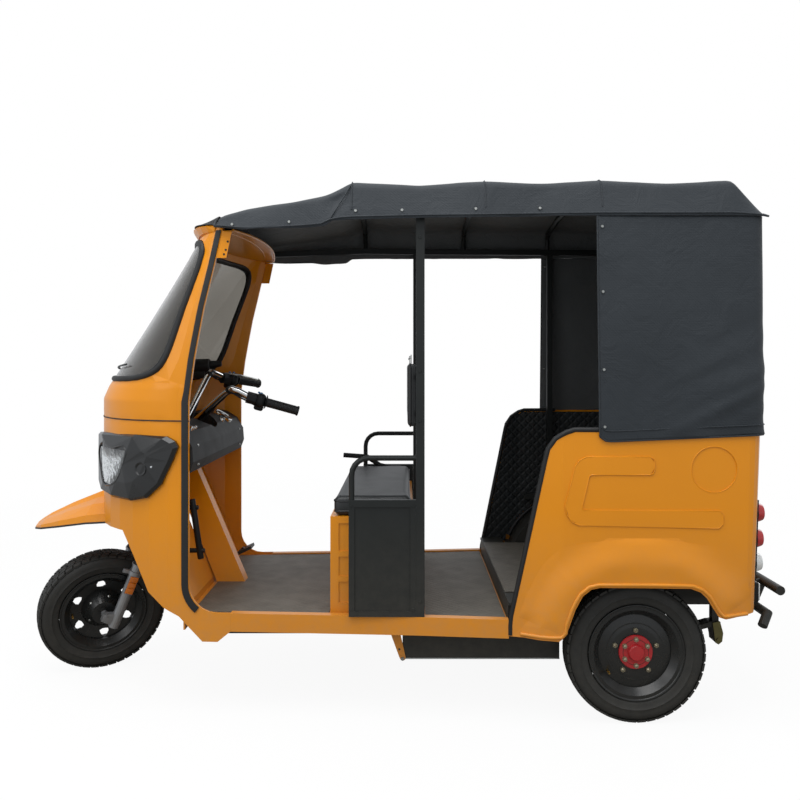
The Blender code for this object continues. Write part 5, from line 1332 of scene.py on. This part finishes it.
# %% Plated tube, housings, grips and cables
BAR_ROUTE = ((0.000, 0.000, 0.822), (0.006, 0.035, 0.826), (0.060, 0.150, 1.020),
             (0.073, 0.170, 1.051), (0.100, 0.180, 1.051), (0.160, 0.200, 1.043),
             (0.328, 0.265, 1.061))
tubes, housings, grips, buttons = bmesh.new(), bmesh.new(), bmesh.new(), bmesh.new()
for side in (-1, 1):
    route = [steer_place @ Vector((x, side * y, z)) for x, y, z in BAR_ROUTE]
    start, end = route[-2], route[-1]
    along = end - start
    add_run(tubes, route[:-1] + [start + along * 0.2], 0.0125, smooth=False, sides=6)
    place = turned_to(start + along * 0.17, end)
    add_block(housings, (-0.030, -0.022, -0.027), (0.031, 0.022, 0.030), 0.021, 5, place)
    add_block(housings, (-0.036, -0.019, -0.041), (0.006, 0.019, -0.008), 0.009, 3, place)
    add_turned(housings, [(0.0215, 0.004), (0.0265, 0.021), (0.0240, 0.0265), (0.0205, 0.029),
                          (0.0195, 0.004)], place, steps=32)
    add_turned(grips, grip_line(along.length * 0.84), turned_to(start + along * 0.21, end),
               steps=28)
    for at, towards in ((0.060, 0.045), (0.052, 0.030)):
        base = place @ Vector((-0.004 if at > 0.055 else 0.012, 0.018 - towards * 0.7, 0.027))
        up = (place.to_3x3() @ Vector((0, 0, 1))).normalized()
        add_bar(buttons, base, base + up * 0.0065, 0.0052, 0.0044, sides=14)
    tie = route[2].lerp(route[3], 0.6)
    add_turned(housings, [(-0.006, 0.0128), (-0.006, 0.0152), (0.006, 0.0152), (0.006, 0.0128)],
               turned_to(tie, route[3]), steps=24)
    for shift in (0.000, 0.0065):
        cable = [start + along * 0.05 + Vector((0, 0, -0.018 - shift)),
                 route[4] + Vector((0, 0, -0.0165 - shift)), route[3] + Vector((-0.004, 0, -0.019)),
                 route[2] + Vector((-0.006, 0, -0.016 - shift)),
                 route[2].lerp(route[1], 0.6) + Vector((0.010, 0, -0.012 - shift)),
                 route[1] + Vector((0.006, 0, -0.050 - shift))]
        add_run(housings, cable, 0.0031, smooth=True, sides=2)
piece("handlebar_tubes", tubes, CHROME, "steering", crease=40)
piece("handlebar_housings", housings, ABS, "steering", crease=35)
piece("handlebar_grips", grips, RUBBER, "steering", crease=30)
piece("handlebar_buttons", buttons, finish("blue_switch_button", "#2A6FA0", "#245F8A", 10,
                                           (0.25, 0.35)), "steering", crease=30)

# %% Brake lever
bm = bmesh.new()
lever = [steer_place @ Vector(p) for p in ((0.150, 0.215, 1.060), (0.190, 0.185, 1.074),
                                           (0.250, 0.205, 1.078), (0.312, 0.232, 1.080))]
add_run(bm, lever, 0.0050, smooth=True, sides=3)
add_bar(bm, lever[-1], lever[-1] + (lever[-1] - lever[-2]).normalized() * 0.006, 0.0072, sides=16,
        rounding=0.002)
piece("brake_lever", bm, ZINC, "steering", crease=40)

# %% [markdown]
# ## Fork
# The sliders carry a reflector of three amber blocks, a clamp ring with an ear where the
# fender's stay would bolt on, and a dust cap at the top. All turn with the steering.

# %% Reflectors, clamp rings and dust caps
amber, rings, caps = bmesh.new(), bmesh.new(), bmesh.new()
for side in (-1, 1):
    for number in range(3):
        low = 0.122 + number * 0.0245
        y = sorted((side * 0.1055, side * 0.1115))
        add_block(amber, (-0.002, y[0], low), (0.030, y[1], low + 0.0235), 0.0022, 2, steer_place)
    y = sorted((side * 0.100, side * 0.1062))
    add_block(rings, (-0.004, y[0], 0.118), (0.032, y[1], 0.199), 0.002, 2, steer_place)
    ring_place = steer_place @ Matrix.Translation((0.014, side * 0.085, 0.0)) @ Matrix.Rotation(
        pi / 2, 4, "X")
    add_turned(rings, [(0.197, 0.0208), (0.197, 0.0262), (0.212, 0.0262), (0.212, 0.0208)],
               ring_place, steps=32)
    add_turned(rings, [(0.235, 0.0208), (0.235, 0.0240), (0.243, 0.0244), (0.243, 0.0158)],
               ring_place, steps=32)
    add_block(rings, (-0.036, side * 0.085 - 0.006, 0.196), (-0.006, side * 0.085 + 0.006, 0.213),
              0.003, 2, steer_place)
    add_turned(caps, [(0.2432, 0.0162), (0.2432, 0.0218), (0.2475, 0.0222), (0.2550, 0.0192),
                      (0.2570, 0.0162)], ring_place, steps=32)
    for number in range(3):
        at = 0.262 + number * 0.010
        add_turned(caps, [(at, 0.0161), (at + 0.002, 0.0185), (at + 0.006, 0.0185),
                          (at + 0.008, 0.0161)], ring_place, steps=28)
piece("fork_reflectors", amber, AMBER_LENS, "steering", crease=40)
piece("fork_rings", rings, FORK, "steering", crease=35)
piece("fork_dust_caps", caps, RUBBER, "steering", crease=40)

# %% Rubber edging along the front fender
strip("fender_edging", [[Vector((x + 0.001, side * (wide + 0.0006), edge)) for x, wide, edge in (
    (-1.060, 0.205, 0.640), (-1.180, 0.195, 0.632), (-1.300, 0.165, 0.613),
    (-1.390, 0.115, 0.596), (-1.430, 0.070, 0.588), (-1.4485, 0.030, 0.5825))]
    for side in (-1, 1)], 0.0036, RUBBER, sides=2)

# %% [markdown]
# ## Dashboard
# A round instrument with a bright ring, a row of switches and an ignition lock stand on the
# moulded panel. Their places follow what shows through the doorway.

# %% Instrument, lock and switches
ring, face, knobs = bmesh.new(), bmesh.new(), bmesh.new()
seat, lift = Vector((-0.7465, 0.250, 1.0200)), Vector((0.54, 0.0, 0.84)).normalized()
place = turned_to(seat, seat + lift)
add_turned(ring, [(-0.004, 0.036), (-0.004, 0.044), (0.008, 0.044), (0.012, 0.041), (0.010, 0.037)],
           place, steps=40)
add_turned(face, [(0.0, 0.0006), (0.0, 0.0375), (0.007, 0.0375), (0.009, 0.0006)], place, steps=40)
for y, radius, tall in ((-0.345, 0.0085, 0.016), (-0.312, 0.0065, 0.012), (-0.280, 0.0065, 0.012),
                        (0.150, 0.0110, 0.010)):
    at = Vector((-0.728, y, 1.0095))
    add_bar(knobs, at - lift * 0.004, at + lift * tall, radius, radius * 0.85, sides=20,
            rounding=0.0015)
piece("instrument_ring", ring, CHROME, crease=35)
piece("instrument_face", face, GLOSS_ABS, crease=30)
piece("dash_switches", knobs, CHROME, crease=35)
bm = bmesh.new()
for y, z in ((-0.36, 0.885), (0.36, 0.885), (-0.36, 0.955), (0.36, 0.955)):
    x = -0.6945 if z < 0.9 else -0.6955
    add_bar(bm, (x - 0.002, y, z), (x + 0.0035, y, z), 0.0055, 0.0045, sides=14)
piece("dash_screws", bm, ZINC, crease=30)

# %% Upright bar on stand-offs beside the driver's feet
bm = bmesh.new()
low, high = Vector((-0.700, -0.300, 0.520)), Vector((-0.733, -0.300, 0.745))
add_bar(bm, low, high, 0.0115, sides=20, rounding=0.003)
for share in (0.14, 0.86):
    at = low.lerp(high, share)
    add_bar(bm, at - Vector((0.055 + 0.045 * share, 0, 0)), at + Vector((0.020, 0, 0)), 0.0095,
            0.0080, sides=18, rounding=0.002)
piece("foot_bar", bm, ABS, crease=40)

# %% [markdown]
# ## Body side
# The wheel opening has a rolled lip. A row of points along the opening is dropped onto the
# solid panel, and a round bead is drawn half sunk in it, so that it follows the swollen
# wing without any measuring.

# %% Rolled lip round each rear wheel opening
OPENING = ((1.235, 0.392), (1.190, 0.390), (1.158, 0.3885), (1.136, 0.395), (1.122, 0.411),
           (1.111, 0.430), (1.094, 0.458), (1.071, 0.480), (1.037, 0.493), (0.960, 0.494),
           (0.884, 0.4945),
           (0.800, 0.495), (0.731, 0.496), (0.700, 0.489), (0.672, 0.466), (0.657, 0.440),
           (0.647, 0.419), (0.637, 0.390), (0.627, 0.362), (0.616, 0.330), (0.602, 0.313),
           (0.575, 0.3095), (0.530, 0.3095), (0.470, 0.3095))
lips = []
for side, label in SIDES:
    panel = nodes[f"rear_quarter_{label}"]
    inverse = panel.matrix_world.inverted()
    line = []
    for x, z in OPENING:
        away = Vector((x - REAR_X, 0, z - REAR_Z)).normalized()
        spot = Vector((x, 0, z)) + (away if 0.62 < x < 1.14 else Vector((0, 0, 1))) * 0.011
        hit, point, _, _ = panel.ray_cast(inverse @ (spot + Vector((0, side * 0.9, 0))),
                                          inverse.to_3x3() @ Vector((0, -side, 0)))
        if hit:
            line.append(panel.matrix_world @ point + Vector((0, side * 0.0005, 0)))
    lips.append(line)
strip("wheel_opening_lips", lips, 0.0062, ENAMEL, sides=5)

# %% Sharp edges of the pressed rib and disc on each rear panel
RIB = ((0.690, 0.9376), (0.9035, 0.9376), (0.9180, 0.9290), (0.9205, 0.9168), (0.9205, 0.895),
       (0.9155, 0.881), (0.9035, 0.876), (0.706, 0.876), (0.6974, 0.871), (0.6732, 0.7642),
       (0.6787, 0.7557), (1.142, 0.7533), (1.1535, 0.7397), (1.1535, 0.709), (1.1385, 0.6937),
       (0.665, 0.7036), (0.640, 0.7140), (0.622, 0.740), (0.6167, 0.7697), (0.6507, 0.9052),
       (0.665, 0.9253), (0.690, 0.9376))
DISC = [(1.124 + 0.079 * cos(radians(a)), 0.894 + 0.079 * sin(radians(a)))
        for a in range(0, 361, 15)]
strip("pressed_edges", [[Vector((x, side * (half_width(x) + lift), z)) for x, z in line]
                        for side in (-1, 1) for line, lift in ((RIB, 0.0022), (DISC, -0.0008))],
      0.0019, ENAMEL, sides=2)

# %% [markdown]
# The solids are faceted. Where a pressing is strongly curved, a painted skin is laid over
# it: rays find the solid's surface, the distances are smoothed like a filler coat, and the
# skin is then raised just enough to cover every facet under it.

# %% Smooth skins over the cowl's nose and the swollen wings
def lay_skin(name, under, starts, ways, rounds):
    """A thin sheet over nodes; starts and ways are rows of points and inward directions."""
    rows, columns = len(starts), len(starts[0])
    cells = [(i, j) for i in range(rows) for j in range(columns)]

    def beside(i, j):
        return [(a, b) for a, b in ((i - 1, j), (i + 1, j), (i, j - 1), (i, j + 1))
                if 0 <= a < rows and 0 <= b < columns]

    def soften(field, turns):
        for _ in range(turns):
            field = {c: (field[c] * 2 + sum(field[n] for n in beside(*c)))
                     / (2 + len(beside(*c))) for c in cells}
        return field

    found = {}
    for i, j in cells:
        reach = [0.5]
        for node in under:
            hit, point, _, _ = nodes[node].ray_cast(starts[i][j], ways[i][j])
            if hit:
                reach.append((point - starts[i][j]).length)
        found[i, j] = -min(reach)
    smooth = soften(found, rounds)
    proud = {c: max(0.0, found[c] - smooth[c]) for c in cells}
    for _ in range(3):
        proud = {c: max([proud[c]] + [proud[n] for n in beside(*c)]) for c in cells}
    proud = soften(proud, 14)
    bm = bmesh.new()
    bmesh.ops.create_grid(bm, x_segments=columns - 1, y_segments=rows - 1, size=1.0)
    for vert in bm.verts:
        j = round((vert.co.x + 1) / 2 * (columns - 1))
        i = round((vert.co.y + 1) / 2 * (rows - 1))
        edge = min(i, j, rows - 1 - i, columns - 1 - j)
        lift = smooth[i, j] + proud[i, j] + 0.0004
        if edge < 3:
            lift += (found[i, j] + 0.0003 - lift) * (3 - edge) / 3
        vert.co = starts[i][j] - ways[i][j] * lift
    ways_in = sum((way for row in ways for way in row), Vector()).normalized()
    made = bmesh.ops.extrude_face_region(bm, geom=bm.faces[:])
    for vert in [v for v in made["geom"] if isinstance(v, bmesh.types.BMVert)]:
        vert.co += ways_in * 0.0006
    print(name, rows * columns, "points, raised up to", round(max(proud.values()) * 1000, 2), "mm")
    return piece(name, bm, ENAMEL, crease=60)

for label, low, high in (("lower", 0.815, 1.0465), ("upper", 1.0535, 1.186)):
    count = round((high - low) / 0.007)
    starts, ways = [], []
    for step in range(count + 1):
        z = low + (high - low) * step / count
        row = [(cab_point(angle, z, 0.04), cab_point(angle, z)) for angle in range(-84, 85, 2)]
        starts.append([start for start, _ in row])
        ways.append([(end - start).normalized() for start, end in row])
    lay_skin(f"cowl_skin_{label}", ("cab_cowl", "windscreen_frame"), starts, ways, 10)

ARCH = [point for point in OPENING if 0.61 < point[0] < 1.14]
lengths = [0.0]
for one, other in zip(ARCH, ARCH[1:]):
    lengths.append(lengths[-1] + hypot(other[0] - one[0], other[1] - one[1]))
for side, label in SIDES:
    starts, ways = [], []
    for out in range(22):
        row = []
        for step in range(91):
            x, z = between([(l, *p) for l, p in zip(lengths, ARCH)], lengths[-1] * step / 90)
            away = Vector((x - REAR_X, 0, z - REAR_Z)).normalized()
            spot = Vector((x, 0, z)) + away * (0.011 + out * 0.0072)
            spot.x = min(spot.x, 1.245)
            row.append(spot + Vector((0, side * 0.72, 0)))
        starts.append(row)
        ways.append([Vector((0, -side, 0))] * 91)
    lay_skin(f"wing_skin_{label}", (f"rear_quarter_{label}",), starts, ways, 24)

# %% Step edging and the folded bracket at the front of the battery tray
bm, hole_shade_marks, bright = bmesh.new(), bmesh.new(), bmesh.new()
for side in (-1, 1):
    add_plate(bm, ((0.0105, 0.2995), (0.0480, 0.2995), (0.0712, 0.1950), (0.0690, 0.1870),
                   (0.0620, 0.1830), (0.0545, 0.1850), (0.0490, 0.1945)),
              side * 0.4204, side * 0.0040)
    # Dark discs where the bracket's holes are: painted shade for the holes.
    for x, z, size in ((0.0270, 0.2900, 0.0085), (0.0485, 0.2245, 0.0042)):
        add_bar(hole_shade_marks, (x, side * 0.4235, z), (x, side * 0.4252, z), size, size * 0.9, sides=16)
    add_bar(bright, (0.0600, side * 0.4235, 0.1910), (0.0600, side * 0.4290, 0.1910), 0.0068,
            sides=6)
    add_run(bright, [Vector((x, side * 0.4206, 0.1905)) for x in (0.066, 0.627)], 0.0026,
            smooth=False, sides=2)
    for x in (0.16, 0.30, 0.44, 0.58):
        add_bar(bright, (x, side * 0.4195, 0.318), (x, side * 0.4225, 0.318), 0.006, 0.005,
                sides=14)
piece("tray_brackets", bm, ENAMEL, crease=30)
piece("tray_bracket_painted_hole_shade", hole_shade_marks, FRAME, crease=30)
piece("tray_edges_and_rivets", bright, ZINC, crease=30)

# %% [markdown]
# ## Tail
# Each lamp unit has two red lenses above a clear one, moulded as shallow domes. The number
# plate is left blank, and so is the pale reflector below each lamp unit.

# %% Lenses, plate and reflectors
def tail_x(z):
    """X of the tail panel at a height: it leans forward towards its foot."""
    return 1.298 - 0.037 * (1.030 - z)

reds, clears, bases = bmesh.new(), bmesh.new(), bmesh.new()
for side in (-1, 1):
    for z, target in ((0.730, reds), (0.640, reds), (0.555, clears)):
        foot = Vector((tail_x(z) + 0.0125, side * 0.480, z))
        profile = [(0.0, 0.0006), (0.0, 0.0352), (0.004, 0.0356), (0.014, 0.0334),
                   (0.024, 0.0306), (0.0300, 0.0280), (0.0318, 0.0200), (0.0326, 0.0006)]
        add_turned(target, profile, turned_to(foot, foot + Vector((1, 0, 0))), steps=36)
        add_turned(bases, [(0.0, 0.0350), (0.0, 0.0392), (0.005, 0.0392), (0.007, 0.0350)],
                   turned_to(foot - Vector((0.001, 0, 0)), foot + Vector((1, 0, 0))), steps=36)
    x = tail_x(0.454)
    y = sorted((side * 0.447, side * 0.513))
    add_block(bases, (x + 0.0005, y[0], 0.424), (x + 0.0300, y[1], 0.489), 0.003)
    add_block(clears, (x + 0.0290, y[0] + 0.003, 0.427), (x + 0.0350, y[1] - 0.003, 0.486), 0.002)
piece("tail_red_lenses", reds, RED_LENS, crease=40)
piece("tail_clear_lenses", clears, WHITE_LENS, crease=40)
piece("tail_lamp_bases", bases, ABS, crease=40)

# %% Blank number plate
plate, screws = bmesh.new(), bmesh.new()
verts = [plate.verts.new((tail_x(z) + 0.0034, y, z))
         for y, z in ((-0.155, 0.572), (0.155, 0.572), (0.155, 0.708), (-0.155, 0.708))]
push(plate, [plate.faces.new(verts)], (0.0018, 0, 0))
for y in (-0.110, 0.110):
    for z in (0.590, 0.690):
        x = tail_x(z) + 0.005
        add_bar(screws, (x, y, z), (x + 0.003, y, z), 0.006, 0.005, sides=14)
piece("number_plate_blank", plate, finish("white_plate_enamel", "#E9EAE8", "#E2E3E0", 60,
                                          (0.30, 0.40)), crease=30)
piece("number_plate_screws", screws, ZINC, crease=30)

# %% [markdown]
# ## Fasteners and spring fittings
# Bolts hold the centre frame, the seat guards and the bumper; the leaf springs hang on
# yellow passivated shackles and are clamped to the axle with U-bolts.

# %% Shackles and U-bolts
PASSIVATED = finish("yellow_passivated_steel", "#77703F", "#5E5A33", 16, (0.34, 0.48), 1.2, 0.05,
                    dust=0.3, metallic=0.7)
bm = bmesh.new()
for side in (-1, 1):
    for y in (side * 0.2985, side * 0.2415):
        add_plate(bm, ((1.228, 0.278), (1.256, 0.284), (1.268, 0.240), (1.264, 0.208),
                       (1.250, 0.197), (1.238, 0.204), (1.234, 0.240)), y - 0.002, 0.004)
    add_bar(bm, (1.250, side * 0.236, 0.214), (1.250, side * 0.304, 0.214), 0.0085, sides=16)
    for x in (0.832, 0.918):
        for y in (side * 0.2395, side * 0.3005):
            add_bar(bm, (x, y, 0.168), (x, y, 0.288), 0.0048, sides=12)
            add_hex(bm, (x, y, 0.172), (0, 0, -1), 0.014, 0.008)
    add_block(bm, (0.815, side * 0.270 - 0.040, 0.1725), (0.935, side * 0.270 + 0.040, 0.1780),
              0.002)
piece("spring_fittings", bm, PASSIVATED, crease=35)

# %% Bolts on the centre frame, the seat guards, the bumper and the sills
bm = bmesh.new()
heads = bmesh.new()
for side in (-1, 1):
    outer = half_width(0.123)
    for x, z in ((0.121, 1.229), (0.121, 1.054), (0.121, 1.700), (0.123, 0.420)):
        add_bar(heads, (x, side * outer, z), (x, side * (outer + 0.0025), z), 0.0062, 0.0052,
                sides=16)
    for x, z in ((-0.119, 0.755), (0.098, 0.755), (-0.119, 0.392), (0.098, 0.392)):
        add_bar(heads, (x, side * outer, z), (x, side * (outer + 0.0022), z), 0.0050, 0.0042,
                sides=14)
    add_block(bm, (0.089, side * 0.400 - 0.008, 1.255), (0.093, side * 0.400 + 0.008, 1.288),
              0.0008)
    add_hex(bm, (0.0885, side * 0.400, 1.278), (-1, 0, 0), 0.009, 0.004)
    for x, z in ((1.345, 0.372), (1.370, 0.372)):
        add_hex(bm, (x, side * 0.2765, z), (0, side, 0), 0.014, 0.007)
piece("frame_bolts", heads, FRAME, crease=30)
piece("bright_bolts", bm, ZINC, crease=30)
